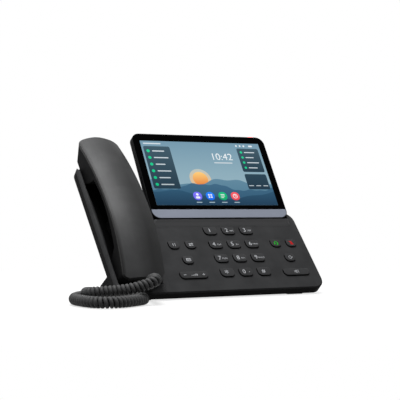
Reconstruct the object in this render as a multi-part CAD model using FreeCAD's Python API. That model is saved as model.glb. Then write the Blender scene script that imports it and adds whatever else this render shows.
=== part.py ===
import FreeCAD, Part
import math
import os

# Desk IP phone: sloping base with keypad and handset cradle, tilting screen, handset on a curly cord.
# Millimetres. The origin is on the desk under the middle of the phone, +X right, +Y back, +Z up.
# Most of the base is drawn in the face frame: x across, u up the sloping face from its front edge,
# w out of the face. The screen has its own frame: x across, s up the glass from the chin, t out of it.

Vector = FreeCAD.Vector

# Base
base_width = 250.0
face_tilt = 48.0            # degrees, slope of the keypad face
front_y = -72.4             # front edge of the face
face_length = 110.4         # keypad face, front edge to top edge
deck_length = 128.0         # rear housing reaches this far up behind the screen
column_length = 181.4       # handset cradle, front edge to top edge
column_width = 63.0         # handset cradle, from the left side
lip = 9.6                   # height of the front housing's wall
rear_depth = 24.0           # face to the back of the rear housing
wall = 2.2
corner_radius = 13.6
inner_corner_radius = 5.0
face_edge_bevel = 1.4
foot_height = 1.0
fit_gap = 0.3               # clearance between pieces that move or drop in
slip_gap = 0.05             # clearance of screws and pins in their holes

# Cradle trough
rim_width = 3.0
trough_end_wall = 3.6
trough_depth = 7.2
trough_slope_width = 7.0
trough_right_wall = 2.4
trough_right_slope = 6.0

# Keys
key_travel = 1.0
key_height = 1.6            # key top above the face
key_gap = 0.4
key_flange = 0.9
key_flange_thickness = 1.0
key_low_radius = 4.6
key_high_radius = 2.2
key_corner_facets = 3
dial_u = 52.9
dial_pitch_x = 22.7
dial_pitch_u = 19.5
dial_key_size = (15.8, 10.8)
small_key_size = (12.2, 10.2)
wide_key_size = (32.5, 9.0)
side_inset = 30.1           # middle of each function key block from the side of the keypad face
side_pitch_x = 20.2
side_rows = (10.0, -10.9, -31.2)
rocker_travel = 3.0         # degrees each way
rocker_flange_width = 12.0

# Boards and mat under the keypad
board_thickness = 1.6
keypad_board_w = -6.2
keypad_board_inset = (8.0, 12.0)
keypad_board_u = (12.0, 92.6)
mat_sheet = 0.6
mat_margin = 2.0
pad_height = 0.8
pad_size = (6.0, 5.0)
boss_radius = 5.0
boss_neck_radius = 3.4
boss_gap = 0.4
low_screws = (38.5, 18.0)   # out from the dial's middle, and up the face
high_screw_insets = (13.0, 20.0)
high_screw_u = 90.5
screw_radius = 1.4
screw_head_radius = 2.7
screw_head_height = 1.6
screw_length = 15.0

# Loudspeaker and grille
speaker_offset = 7.0        # right of the handset's middle
speaker_u = 93.0
grille_radius = 20.0
grille_thickness = 1.2
grille_rings = 2
grille_pitch = 7.0
grille_hole = 4.4           # across the flats of each six-sided hole
grille_sides = 24
grille_seat = 2.0           # width of the ledge under the grille
speaker_depth = 10.0
speaker_rim = 1.5
magnet_radius = 11.0
magnet_height = 6.0

# Hook switch
hook_u = 32.0
hook_size = 9.0
hook_rise = 3.0
hook_flange = 1.6
hook_switch_size = (10.0, 14.0)

# Base microphone in the front lip
microphone_inset = 23.5
microphone_w = -6.2
microphone_radius = 2.8
microphone_depth = 2.6
microphone_hole = 0.9

# Socket bay in the rear housing
bay_offset = -6.0           # its left side from the cradle's right side
bay_width = 114.0
bay_u = (26.0, 70.0)
bay_roof_w = -11.6
main_board_w = -9.4
main_board_reach = (2.0, 12.0)  # its ends, right of each side of the bay
main_board_length = 34.0
socket_gap = 0.2
socket_depth = 15.0
post_radius = 3.0
small_socket = (10.6, 9.4)
small_mouth = (7.2, 6.4)
network_socket = (16.0, 10.2)
network_mouth = (11.8, 7.4)
usb_socket_size = (14.6, 7.6)
usb_mouth = (12.6, 5.2)
power_socket_size = (9.6, 10.2)
power_bore = 3.0
handset_socket_place = 8.0  # middle of each socket from the bay's left side
headset_socket_place = 22.0
network_socket_places = (40.0, 59.0)
usb_socket_place = 79.0
power_socket_place = 95.0
plug_size = (6.8, 6.0)
plug_length = 20.0
plug_inserted = 9.0         # also the depth of every socket's mouth

# Stand
stand_half_width = 82.0
stand_top_u = 81.0
stand_low_u = 45.0
stand_back_y = 76.12
stand_plate = 5.0
stand_cheek = 5.0
stand_foot_length = 15.0
stand_window = (100.0, 34.0)
stand_tab = (10.0, 5.0, 2.0)
foot_size = (18.0, 9.0)
front_foot_x = 92.0
front_foot_back = 4.5       # from the lip's lower edge to the foot pad
rear_foot_x = 66.0

# Screen
screen_width = 170.0        # cover glass
screen_x = 29.1
chin_height = 10.7
glass_height = 100.3
glass_thickness = 1.2
screen_gap = 0.15
screen_rim = 1.0
rim_drop = 0.3              # rim's front behind the glass
screen_corner = 9.0
screen_edge = 5.6           # front of the glass to the back of the frame
frame_ledge = 1.2
ledge_width = 9.5
rear_plate = 1.5
bulge_height = 7.0
bulge_margin = 6.0
bulge_slope = 10.0
bulge_corner = 12.0
bulge_start = 27.0          # lower edge of the bulge, up the screen
screen_tilt = 9.7           # degrees steeper than the keypad face, at rest
hinge_u = 119.2
hinge_w = -4.0
hinge_s = 19.2
hinge_t = -12.3
hinge_spacing = 90.0
knuckle_radius = 4.5
knuckle_width = 10.0
ear_width = 5.0
pin_radius = 2.0
pin_gap = 0.15
bracket_foot = (15.0, 1.5)
recess_depth = 7.0
recess_front = 95.2
recess_side = 1.2
display_size = (165.0, 95.0, 3.2)
display_centre_s = 59.2
screen_board_size = (110.0, 46.0)
light_x = 70.4
light_size = (7.6, 0.8, 2.8)
screen_screw_inset = (10.0, 13.0)
screen_screw_radius = 1.0
screen_screw_head = (2.0, 0.9)

# Handset
handset_inset = 30.0        # middle of the handset from the base's left side
handset_width = 46.0
handset_floor = -6.9
floor_bevel = 3.5
mouth_end = 14.2            # lower end, at the floor
mouth_end_lean = -0.14
mouth_end_bow = 0.6
ear_end = 191.8             # upper end, at the floor
ear_end_lean = 0.68
ear_end_bow = 3.4
end_corner = 8.0
crest_u = 92.0
crest_w = 29.6              # long edges of the handset at the crest
crest_radius_high = 365.0
crest_radius_low = 175.0
crest_overrun = 6.0         # degrees past each end, trimmed off there
crown = 4.5
seam_drop = 3.0
seam_gap = 0.15
shell = 2.2
arch_low = (46.0, 52.0)     # foot and top of the mouthpiece side of the finger gap
arch_high = (141.0, 161.0)  # top and foot of the earpiece side
arch_low_w = 12.6
arch_high_w = 18.0
arch_mid = (104.0, 22.2)
ear_u = 173.0
ear_radius = 12.5
ear_height = 8.0
mouth_u = 36.0
mouth_offset = 9.0          # left of the handset's middle
mouth_radius = 5.0
mouth_height = 6.0
capsule_sides = 12
pocket_depth = 3.0          # for the weight, below the seam
weight_size = (24.0, 50.0, 2.5)
sound_hole = 1.6
sound_ring = 6.0
handset_lift = 60.0

# Cord plug in the handset
exit_offset = 7.0           # right of the handset's middle
socket_cover = 0.8          # socket's top under the seam
cord_socket_size = (10.6, 15.0, 9.4)
cord_socket_u = 19.0
boot_radius = 3.4
boot_sides = 10
boot_length = 5.0
boot_u = 13.0               # where the boot's axis leaves the plug's
boot_turn = 14.0            # degrees, exit direction left of straight forward
boot_rise = -1.0            # degrees above level

# Curly cord
wire_diameter = 3.0
wire_sides = 4
curl_diameter = 11.6
curl_pitch = 7.0
curl_open = 1.5             # turns over which the curls open and close
curl_ease = 2.0             # pitch of those turns against the others
cord_rest = 6.0             # height of the curls' axis over the desk
cord_first_run = 37.0
cord_last_run = 14.0
tail_length = 104.0         # uncurled end at the base
route_bend = 0.45           # share of the shorter run that each bend takes
cord_corners = [
    (-136.0, -105.5, 15.5), (-160.0, -90.0, 12.5), (-160.0, -72.6, 11.2), (-152.4, -65.0, 10.2),
    (-140.4, -65.0, 9.2), (-111.3, -99.5, cord_rest), (-112.8, -111.8, cord_rest),
    (-146.0, -133.0, cord_rest), (-166.0, -130.0, cord_rest), (-174.5, -110.0, cord_rest),
    (-175.0, -66.0, cord_rest), (-104.0, -10.0, cord_rest)]

X_AXIS = Vector(1, 0, 0)
Y_AXIS = Vector(0, 1, 0)
Z_AXIS = Vector(0, 0, 1)
half_width = base_width / 2
column_right = column_width - half_width
trough_right = column_right - trough_right_wall
dial_x = (column_right + half_width) / 2
keypad_board_x = (column_right + keypad_board_inset[0], half_width - keypad_board_inset[1])
screw_places = ((dial_x - low_screws[0], low_screws[1]), (dial_x + low_screws[0], low_screws[1]),
                (column_right + high_screw_insets[0], high_screw_u), (half_width - high_screw_insets[1], high_screw_u))
bay_x = (column_right + bay_offset, column_right + bay_offset + bay_width)
main_board_x = (bay_x[0] + main_board_reach[0], bay_x[1] + main_board_reach[1])
handset_socket_x = bay_x[0] + handset_socket_place
headset_socket_x = bay_x[0] + headset_socket_place
network_socket_x = tuple(bay_x[0] + place for place in network_socket_places)
usb_socket_x = bay_x[0] + usb_socket_place
power_socket_x = bay_x[0] + power_socket_place
microphone_x = half_width - microphone_inset
handset_x = handset_inset - half_width
speaker_x = handset_x + speaker_offset
hook_x = handset_x
mouth_x = handset_x - mouth_offset
exit_x = handset_x + exit_offset
front_z = foot_height + lip * math.cos(math.radians(face_tilt))
rear_taper = (rear_depth - lip) / math.tan(math.radians(face_tilt))


# Shape helpers

def box(x_range, y_range, z_range):
    size = [r[1] - r[0] for r in (x_range, y_range, z_range)]
    return Part.makeBox(*size, Vector(x_range[0], y_range[0], z_range[0]))


def span(centre, length):
    return (centre - length / 2, centre + length / 2)


def cylinder(radius, height, base, axis=Z_AXIS):
    return Part.makeCylinder(radius, height, Vector(*base), axis)


def post(sides, radius, height, base, axis=Z_AXIS):
    """Upright prism with a regular outline, for pieces that need no round wall."""
    across = X_AXIS if abs(axis.x) < 0.9 else Y_AXIS
    first = across - axis * across.dot(axis)
    first.normalize()
    second = axis.cross(first)
    points = []
    for k in range(sides + 1):
        angle = 2 * math.pi * (k + 0.5) / sides
        points.append(Vector(*base) + first * (radius * math.cos(angle)) + second * (radius * math.sin(angle)))
    return Part.Face(Part.makePolygon(points)).extrude(axis * height)


def faceted_prism(points, radii, facets, z_range):
    """Prism whose corners are turned by a few flats that follow each corner's radius."""
    outline = []
    count = len(points)
    for i in range(count):
        here = Vector(*points[i])
        before = Vector(*points[i - 1]) - here
        after = Vector(*points[(i + 1) % count]) - here
        before.normalize()
        after.normalize()
        centre = here + (before + after) * radii[i]
        for k in range(facets + 1):
            angle = math.pi / 2 * k / facets
            outline.append(centre - after * (radii[i] * math.cos(angle)) - before * (radii[i] * math.sin(angle)))
    outline = [Vector(p.x, p.y, z_range[0]) for p in outline]
    face = Part.Face(Part.makePolygon(outline + [outline[0]]))
    return face.extrude(Vector(0, 0, z_range[1] - z_range[0]))


def rounded_wire(points, radii, z):
    """Closed outline through the points, each corner turned by an arc of its own radius."""
    corners = []
    count = len(points)
    for i in range(count):
        here = Vector(points[i][0], points[i][1], z)
        before = Vector(points[i - 1][0], points[i - 1][1], z) - here
        after = Vector(points[(i + 1) % count][0], points[(i + 1) % count][1], z) - here
        before.normalize()
        after.normalize()
        half = before.getAngle(after) / 2
        middle = before + after
        middle.normalize()
        setback = radii[i] / math.tan(half)
        centre = here + middle * (radii[i] / math.sin(half))
        corners.append((here + before * setback, centre - middle * radii[i], here + after * setback))
    edges = []
    for i in range(count):
        start, mid, end = corners[i]
        if radii[i] > 0:
            edges.append(Part.Arc(start, mid, end).toShape())
        following = corners[(i + 1) % count][0]
        if (following - end).Length > 1e-6:
            edges.append(Part.LineSegment(end, following).toShape())
    return Part.Wire(edges)


def prism(points, radii, z_range):
    face = Part.Face(rounded_wire(points, radii, z_range[0]))
    return face.extrude(Vector(0, 0, z_range[1] - z_range[0]))


def rectangle(x_range, y_range):
    return [(x_range[0], y_range[0]), (x_range[1], y_range[0]),
            (x_range[1], y_range[1]), (x_range[0], y_range[1])]


def side_prism(points, x_range):
    """Prism along x of a closed outline in the plane across it; a point of three is an arc's middle."""
    edges = []
    last = Vector(x_range[0], *points[0])
    first = last
    middle = None
    for point in points[1:] + [points[0]]:
        here = Vector(x_range[0], point[0], point[1])
        if len(point) == 3:
            middle = here
            continue
        if middle is None:
            edges.append(Part.LineSegment(last, here).toShape())
        else:
            edges.append(Part.Arc(last, middle, here).toShape())
            middle = None
        last = here
    assert (last - first).Length < 1e-6
    return Part.Face(Part.Wire(edges)).extrude(Vector(x_range[1] - x_range[0], 0, 0))


def fuse(shapes):
    return shapes[0].multiFuse(shapes[1:]).removeSplitter()


def moved(shape, x, y, z=0.0):
    copy = shape.copy()
    copy.translate(Vector(x, y, z))
    return copy


# Frames

face_frame = FreeCAD.Placement(Vector(0, front_y, front_z), FreeCAD.Rotation(X_AXIS, face_tilt))
screen_turn = FreeCAD.Rotation(X_AXIS, screen_tilt)
hinge_point = Vector(screen_x, hinge_u, hinge_w)
screen_origin = hinge_point - screen_turn.multVec(Vector(0, hinge_s, hinge_t))
screen_frame_place = face_frame.multiply(FreeCAD.Placement(screen_origin, screen_turn))


def placed(shape, frame):
    copy = shape.copy()
    copy.Placement = frame.multiply(copy.Placement)
    return copy


def on_face(x, u, w):
    return face_frame.multVec(Vector(x, u, w))


# Base housings

def base_outline(length, inset, z):
    """The base seen square to its face: keypad part, and the taller cradle column at its left."""
    left = -half_width + inset
    right = half_width - inset
    top = length - inset
    inner = column_right - inset
    column_top = column_length - inset
    points = [(left, inset), (right, inset), (right, top), (inner, top),
              (inner, column_top), (left, column_top)]
    radii = [max(corner_radius - inset, slip_gap)] * 6
    radii[3] = inner_corner_radius + inset
    return rounded_wire(points, radii, z)


def outline_prism(length, inset, z_range):
    face = Part.Face(base_outline(length, inset, z_range[0]))
    return face.extrude(Vector(0, 0, z_range[1] - z_range[0]))


trough_left = -half_width + rim_width
trough_floor_right = trough_right - trough_right_slope
recess_x = (screen_x - screen_width / 2 - screen_rim - recess_side,
            screen_x + screen_width / 2 + screen_rim + recess_side)


def trough_cutter():
    """Trough with hollow side slopes and a flat floor, open at its upper end."""
    floor = -trough_depth
    bend = 0.3
    left_mid = (trough_left + bend * trough_slope_width, floor * (1 - bend))
    right_mid = (trough_right - bend * trough_right_slope, floor * (1 - bend))
    profile = [
        Part.LineSegment(Vector(trough_left, 0, 1), Vector(trough_left, 0, 0)).toShape(),
        Part.Arc(Vector(trough_left, 0, 0), Vector(left_mid[0], 0, left_mid[1]),
                 Vector(trough_left + trough_slope_width, 0, floor)).toShape(),
        Part.LineSegment(Vector(trough_left + trough_slope_width, 0, floor),
                         Vector(trough_floor_right, 0, floor)).toShape(),
        Part.Arc(Vector(trough_floor_right, 0, floor), Vector(right_mid[0], 0, right_mid[1]),
                 Vector(trough_right, 0, 0)).toShape(),
        Part.LineSegment(Vector(trough_right, 0, 0), Vector(trough_right, 0, 1)).toShape(),
        Part.LineSegment(Vector(trough_right, 0, 1), Vector(trough_left, 0, 1)).toShape(),
    ]
    face = Part.Face(Part.Wire(profile))
    face.translate(Vector(0, trough_end_wall, 0))
    return face.extrude(Vector(0, column_length, 0))


def key_prism(size, grow, z_range):
    points = rectangle(span(0, size[0] + 2 * grow), span(0, size[1] + 2 * grow))
    low = key_low_radius + grow
    high = key_high_radius + grow
    return faceted_prism(points, [low, low, high, high], key_corner_facets, z_range)


def key_places():
    """Name, size and centre of every key on the face."""
    places = []
    names = ("1", "2", "3", "4", "5", "6", "7", "8", "9", "star", "0", "hash")
    for i, name in enumerate(names):
        x = dial_x + (i % 3 - 1) * dial_pitch_x
        u = dial_u + (1.5 - i // 3) * dial_pitch_u
        places.append(("key_" + name, dial_key_size, x, u))
    left = column_right + side_inset
    right = half_width - side_inset
    near = side_pitch_x / 2
    rows = [dial_u + row for row in side_rows]
    places += [
        ("key_hold", small_key_size, left - near, rows[0]),
        ("key_transfer", small_key_size, left + near, rows[0]),
        ("key_message", small_key_size, left, rows[1]),
        ("key_headset", small_key_size, right - near, rows[0]),
        ("key_mute", small_key_size, right + near, rows[0]),
        ("key_redial", small_key_size, right, rows[1]),
        ("key_speaker", wide_key_size, right, rows[2]),
        ("key_volume", wide_key_size, left, rows[2]),
    ]
    return places


def boss(place):
    """Screw boss under the face: the board rests on its shoulder, the screw bites in its neck."""
    x, u = place
    shoulder = post(6, boss_radius, -wall - keypad_board_w, (x, u, keypad_board_w))
    neck = post(6, boss_neck_radius, keypad_board_w + lip, (x, u, -lip))
    return shoulder.fuse(neck)


def make_front_housing():
    outer = outline_prism(face_length, 0, (-lip, 0))
    top_edges = [e for e in outer.Edges if all(abs(v.Z) < 1e-6 for v in e.Vertexes)]
    outer = outer.makeChamfer(face_edge_bevel, top_edges)
    shape = outer.cut(outline_prism(face_length, wall, (-lip, -wall)))
    pan = box((-half_width + wall, trough_right + wall), (wall, column_length - wall),
              (-trough_depth - wall, -wall))
    recess_floor = box((recess_x[0] - wall, recess_x[1] + wall), (recess_front - wall, face_length),
                       (-recess_depth - wall, -wall))
    added = [pan.common(outer), recess_floor.common(outer)] + [boss(p) for p in screw_places]
    shape = shape.multiFuse(added)
    cutters = [trough_cutter(),
               box(recess_x, (recess_front, face_length + 1), (-recess_depth, 1))]
    for name, size, x, u in key_places():
        cutters.append(moved(key_prism(size, key_gap, (-wall - 1, 1)), x, u))
    cutters += [post(6, screw_radius + slip_gap, lip - wall, (x, u, -lip)) for x, u in screw_places]
    seat = -trough_depth - grille_thickness
    place = (speaker_x, speaker_u)
    cutters.append(post(grille_sides, grille_radius + slip_gap, grille_thickness + 1, place + (seat,)))
    cutters.append(post(grille_sides, grille_radius - grille_seat, 2 * wall, place + (seat - wall,)))
    opening = hook_size + 2 * fit_gap
    cutters.append(box(span(hook_x, opening), span(hook_u, opening), (-lip, 0)))
    cutters.append(post(8, microphone_hole, wall + 2, (microphone_x, -1, microphone_w), Y_AXIS))
    return shape.cut(cutters).removeSplitter()


def base_loft(inset, z_top, z_low):
    """Tapered rear volume; its sides slope so that the front one lies flat on the desk."""
    slope = rear_taper / (rear_depth - lip)
    wires = [base_outline(deck_length, inset + slope * (-lip - z), z) for z in (z_top, z_low)]
    return Part.makeLoft(wires, True, True)


def socket_list():
    """Node, body size, mouth size and x of every rectangular socket in the rear bay."""
    return [
        ("handset_jack", small_socket, small_mouth, (handset_socket_x,)),
        ("headset_jack", small_socket, small_mouth, (headset_socket_x,)),
        ("network_jacks", network_socket, network_mouth, network_socket_x),
        ("usb_socket", usb_socket_size, usb_mouth, (usb_socket_x,)),
        ("power_socket", power_socket_size, None, (power_socket_x,)),
    ]


socket_top = main_board_w - board_thickness
main_board_u = (bay_u[1] + wall + fit_gap, bay_u[1] + wall + fit_gap + main_board_length)
stand_slot_u = stand_top_u - 2 * stand_tab[1]


def stand_tabs(grow):
    """Two tabs that hold the stand in the back of the rear housing."""
    tabs = []
    for side in (-1, 1):
        centre = side * (stand_half_width - stand_tab[0] / 2)
        tabs.append(box(span(centre, stand_tab[0] + 2 * grow), span(stand_slot_u, stand_tab[1] + 2 * grow),
                        (-rear_depth - 1e-3, -rear_depth + stand_tab[2] + grow)))
    return tabs


def make_rear_housing():
    outer = base_loft(0, -lip, -rear_depth)
    cavity = base_loft(wall, -lip, -rear_depth + wall)
    deck_roof = box((column_right - wall, half_width), (face_length - wall, deck_length + 1),
                    (-lip - wall, -lip + 1))
    shape = outer.cut(cavity.cut(deck_roof))
    bay_walls = box((bay_x[0] - wall, bay_x[1] + wall), (bay_u[0] - wall, bay_u[1] + wall),
                    (-rear_depth, bay_roof_w + wall))
    floor = -rear_depth + wall
    posts = []
    for x in (main_board_x[0] + post_radius, sum(main_board_x) / 2, main_board_x[1] - post_radius):
        posts.append(post(6, post_radius, socket_top - floor, (x, main_board_u[1] - post_radius, floor)))
    screw_seat = -rear_depth + screw_head_height
    tubes = [post(6, boss_radius, -lip - floor, (x, u, floor)) for x, u in screw_places]
    tab_backs = [box(span(side * (stand_half_width - stand_tab[0] / 2), stand_tab[0] + 2 * wall),
                     span(stand_slot_u, stand_tab[1] + 2 * wall), (floor, -rear_depth + stand_tab[2] + wall))
                 for side in (-1, 1)]
    shape = shape.multiFuse([bay_walls] + posts + tubes + tab_backs)
    cutters = [box(bay_x, bay_u, (-rear_depth - 1, bay_roof_w))]
    for node, size, mouth, places in socket_list():
        for x in places:
            cutters.append(box(span(x, size[0] + 2 * socket_gap), (bay_u[1] - 1, bay_u[1] + wall + 1),
                               (socket_top - size[1] - socket_gap, bay_roof_w + wall + 1)))
    for x, u in screw_places:
        cutters.append(post(6, screw_radius + slip_gap, rear_depth, (x, u, -rear_depth - 1)))
        cutters.append(post(6, screw_head_radius + slip_gap, screw_head_height + 1,
                            (x, u, screw_seat - screw_head_height - 1)))
    cutters += stand_tabs(socket_gap)
    return shape.cut(cutters).removeSplitter()


def make_housing_screws():
    screws = []
    for x, u in screw_places:
        head = post(6, screw_head_radius, screw_head_height, (x, u, -rear_depth))
        shank = post(6, screw_radius, screw_length, (x, u, -rear_depth + screw_head_height))
        screws.append(head.fuse(shank).removeSplitter())
    return Part.makeCompound(screws)


# Inside the base

def make_keypad_board():
    shape = box(keypad_board_x, keypad_board_u, (keypad_board_w - board_thickness, keypad_board_w))
    below = keypad_board_w - 1.5 * board_thickness
    holes = [post(6, boss_neck_radius + boss_gap, 2 * board_thickness, (x, u, below)) for x, u in screw_places]
    return shape.cut(holes)


def make_key_mat():
    """Rubber sheet with a raised pad under each key, and one under each end of the rocker."""
    sheet_x = (keypad_board_x[0] + mat_margin, keypad_board_x[1] - mat_margin)
    sheet_u = (keypad_board_u[0] + mat_margin, keypad_board_u[1] - mat_margin)
    shape = box(sheet_x, sheet_u, (keypad_board_w, keypad_board_w + mat_sheet))
    pads = []
    for name, size, x, u in key_places():
        ends = (-1, 1) if name == "key_volume" else (0,)
        for end in ends:
            centre = x + end * (size[0] / 2 - pad_size[0])
            pads.append(box(span(centre, pad_size[0]), span(u, pad_size[1]),
                            (keypad_board_w + mat_sheet, keypad_board_w + mat_sheet + pad_height)))
    holes = [post(6, boss_radius + boss_gap, 1, (x, u, keypad_board_w)) for x, u in screw_places]
    return shape.multiFuse(pads).cut(holes).removeSplitter()


def make_main_board():
    shape = box(main_board_x, main_board_u, (socket_top, main_board_w))
    holes = [post(6, boss_radius + boss_gap, 2 * board_thickness, (x, u, socket_top - 0.5 * board_thickness))
             for x, u in screw_places]
    return shape.cut(holes)


def socket_body(x, size, mouth):
    """Moulded socket soldered under the main board, its mouth in the bay's upper wall."""
    middle = socket_top - size[1] / 2
    shape = box(span(x, size[0]), (bay_u[1], bay_u[1] + socket_depth), span(middle, size[1]))
    if mouth is None:
        hollow = post(capsule_sides, power_bore, plug_inserted, (x, bay_u[1], middle), Y_AXIS)
    else:
        hollow = box(span(x, mouth[0]), (bay_u[1] - 1, bay_u[1] + plug_inserted), span(middle, mouth[1]))
    return shape.cut(hollow)


def make_sockets():
    nodes = {}
    for node, size, mouth, places in socket_list():
        bodies = [socket_body(x, size, mouth) for x in places]
        nodes[node] = Part.makeCompound(bodies) if len(bodies) > 1 else bodies[0]
    return nodes


def make_speaker_grille():
    """Round grille of six-sided holes in rings about the middle one."""
    shape = post(grille_sides, grille_radius, grille_thickness, (speaker_x, speaker_u, -trough_depth - grille_thickness))
    holes = []
    for row in range(-grille_rings, grille_rings + 1):
        for column in range(-grille_rings, grille_rings + 1):
            if abs(row + column) <= grille_rings:
                x = speaker_x + grille_pitch * (column + row / 2)
                u = speaker_u + grille_pitch * row * math.sqrt(3) / 2
                holes.append(post(6, grille_hole / math.sqrt(3), 3 * grille_thickness,
                                  (x, u, -trough_depth - 2 * grille_thickness)))
    return shape.cut(holes)


def make_loudspeaker():
    """Rim under the trough floor, tapering basket and magnet behind."""
    top = -trough_depth - wall
    place = (speaker_x, speaker_u)
    rim = post(grille_sides, grille_radius, speaker_rim, place + (top - speaker_rim,))
    hollow = post(grille_sides, grille_radius - grille_seat - 1, speaker_rim, place + (top - speaker_rim,))
    basket = post(grille_sides, magnet_radius + 3, speaker_depth - magnet_height - speaker_rim,
                  place + (top - speaker_depth + magnet_height,))
    plate = post(grille_sides, grille_radius - grille_seat, 1, place + (top - speaker_rim - 1,))
    magnet = post(grille_sides, magnet_radius, magnet_height, place + (top - speaker_depth,))
    return fuse([rim.cut(hollow), plate, basket, magnet])


hook_top = -trough_depth
hook_flange_top = -trough_depth - wall - hook_rise - fit_gap


def make_hook_plunger():
    stem = box(span(hook_x, hook_size), span(hook_u, hook_size), (hook_flange_top, hook_top))
    wide = hook_size + 2 * hook_flange
    flange = box(span(hook_x, wide), span(hook_u, wide), (hook_flange_top - 1.2, hook_flange_top))
    return stem.fuse(flange).removeSplitter()


def make_hook_switch():
    top = hook_flange_top - 1.2 - fit_gap
    return box(span(hook_x, hook_switch_size[0]), span(hook_u, hook_switch_size[1]), (-rear_depth + wall, top))


def make_base_microphone():
    return post(capsule_sides, microphone_radius, microphone_depth, (microphone_x, wall, microphone_w), Y_AXIS)


# Keys

def make_key(size):
    """Moulded key: cap through the face, flange behind it that keeps it in."""
    top = key_prism(size, 0, (-wall - fit_gap, key_height))
    wide = 2 * (key_gap + key_flange)
    flange = box(span(0, size[0] + wide), span(0, size[1] + wide),
                 (-wall - fit_gap - key_flange_thickness, -wall - fit_gap))
    return top.fuse(flange).removeSplitter()


def make_rocker(size):
    """Volume key: flange only near its middle, where it pivots."""
    lift = math.radians(rocker_travel) * rocker_flange_width / 2 + fit_gap
    low = -wall - lift - key_flange_thickness
    top = key_prism(size, 0, (low, key_height))
    flange = box(span(0, rocker_flange_width), span(0, size[1] + 2 * (key_gap + key_flange)), (low, -wall - lift))
    return top.fuse(flange).removeSplitter()


# Stand and feet

def make_stand():
    """Sloping plate with a cheek at each side, from the rear housing down to the desk behind it."""
    top = on_face(0, stand_top_u, -rear_depth)
    low = on_face(0, stand_low_u, -rear_depth)
    shelf = on_face(0, stand_top_u - 2 * stand_plate, -rear_depth)
    foot_front = stand_back_y - stand_foot_length
    x_range = (-stand_half_width, stand_half_width)
    plate = side_prism([(top.y, top.z), (stand_back_y, foot_height + stand_plate), (stand_back_y, foot_height),
                        (foot_front, foot_height), (shelf.y, shelf.z)], x_range)
    pieces = [plate]
    for x in (x_range[0], x_range[1] - stand_cheek):
        cheek = [(top.y, top.z), (stand_back_y, foot_height + stand_plate), (stand_back_y, foot_height),
                 (foot_front, foot_height), (low.y, low.z)]
        pieces.append(side_prism(cheek, (x, x + stand_cheek)))
    shape = fuse(pieces)
    middle_y = (top.y + stand_back_y) / 2
    window = box(span(0, stand_window[0]), span(middle_y, stand_window[1]), (0, top.z))
    shape = shape.cut(window)
    tabs = [placed(tab, face_frame) for tab in stand_tabs(0)]
    return shape.multiFuse(tabs).removeSplitter()


def make_rubber_feet():
    front = on_face(0, 0, -lip)
    front_pad = (front.y + front_foot_back, front.y + front_foot_back + foot_size[1])
    rear_middle = stand_back_y - stand_foot_length / 2
    pads = []
    for side in (-1, 1):
        for x, y_range in ((side * front_foot_x, front_pad), (side * rear_foot_x, span(rear_middle, foot_size[1]))):
            pads.append(box(span(x, foot_size[0]), y_range, (0, foot_height)))
    return Part.makeCompound(pads)


# Screen, drawn in its own frame and then moved

screen_height = chin_height + glass_height
screen_half = screen_width / 2
frame_back = -screen_edge
ledge_front = frame_back + frame_ledge
cover_back = frame_back - rear_plate
bulge_back = cover_back - bulge_height


def screen_prism(grow, z_range):
    points = rectangle((-screen_half - grow, screen_half + grow), (-grow, screen_height + grow))
    return prism(points, [screen_corner + grow] * 4, z_range)


def screen_screw_places():
    across = screen_half - screen_screw_inset[0]
    return [(x, s) for x in (-across, across)
            for s in (screen_screw_inset[1], screen_height - screen_screw_inset[1])]


def light_box(grow):
    back = -glass_thickness - light_size[2]
    return box(span(light_x, light_size[0] + 2 * grow), (screen_height, screen_height + screen_rim + light_size[1]),
               (back, -glass_thickness + grow))


def make_screen_frame():
    """Rim round the glass, with a ledge behind that carries the display."""
    shape = screen_prism(screen_rim, (frame_back, -rim_drop))
    shape = shape.cut(screen_prism(screen_gap, (ledge_front, 1)))
    window = box((-screen_half + ledge_width, screen_half - ledge_width),
                 (chin_height + ledge_width, screen_height - ledge_width), (frame_back - 1, 0))
    holes = [post(6, screen_screw_radius + slip_gap, 4, (x, s, frame_back - 1)) for x, s in screen_screw_places()]
    return shape.cut(holes + [window, light_box(screen_gap)]).removeSplitter()


def bulge_loft():
    """Raised middle of the screen's back, with sloping sides."""
    wires = []
    for z, inset in ((cover_back, 0), (bulge_back, bulge_slope)):
        margin = bulge_margin + inset
        points = rectangle((-screen_half + margin, screen_half - margin),
                           (bulge_start + inset, screen_height - margin))
        wires.append(rounded_wire(points, [max(bulge_corner - inset, slip_gap)] * 4, z))
    return Part.makeLoft(wires, True, True)


def hinge_places():
    return (-hinge_spacing / 2, hinge_spacing / 2)


def knuckle(reach, s, t, side):
    """Eight-sided hinge eye, with a web to the side that carries it."""
    eye = post(8, knuckle_radius / math.cos(math.pi / 8), reach[1] - reach[0], (reach[0], s, t), X_AXIS)
    return [eye, box(reach, span(s, 2 * knuckle_radius * math.tan(math.pi / 8)), (min(t, side), max(t, side)))]


def make_screen_rear_cover():
    pieces = [screen_prism(screen_rim, (cover_back, frame_back)), bulge_loft()]
    ear_offset = (knuckle_width + ear_width) / 2 + fit_gap
    for x in hinge_places():
        pieces += knuckle(span(x - ear_offset, ear_width), hinge_s, hinge_t, cover_back)
        pieces += knuckle(span(x + ear_offset, ear_width), hinge_s, hinge_t, cover_back)
    shape = fuse(pieces)
    deep = bulge_margin + bulge_slope + wall
    cutters = [box((-screen_half + deep, screen_half - deep), (bulge_start + deep - bulge_margin, screen_height - deep),
                   (bulge_back + wall, frame_back))]
    for x in hinge_places():
        length = knuckle_width + 2 * (ear_width + fit_gap)
        cutters.append(cylinder(pin_radius, length, (x - length / 2, hinge_s, hinge_t), X_AXIS))
    for x, s in screen_screw_places():
        cutters.append(post(6, screen_screw_radius + slip_gap, 4, (x, s, cover_back - 1)))
        cutters.append(post(6, screen_screw_head[0] + slip_gap, screen_screw_head[1] + 1, (x, s, cover_back - 1)))
    return shape.cut(cutters).removeSplitter()


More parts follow.
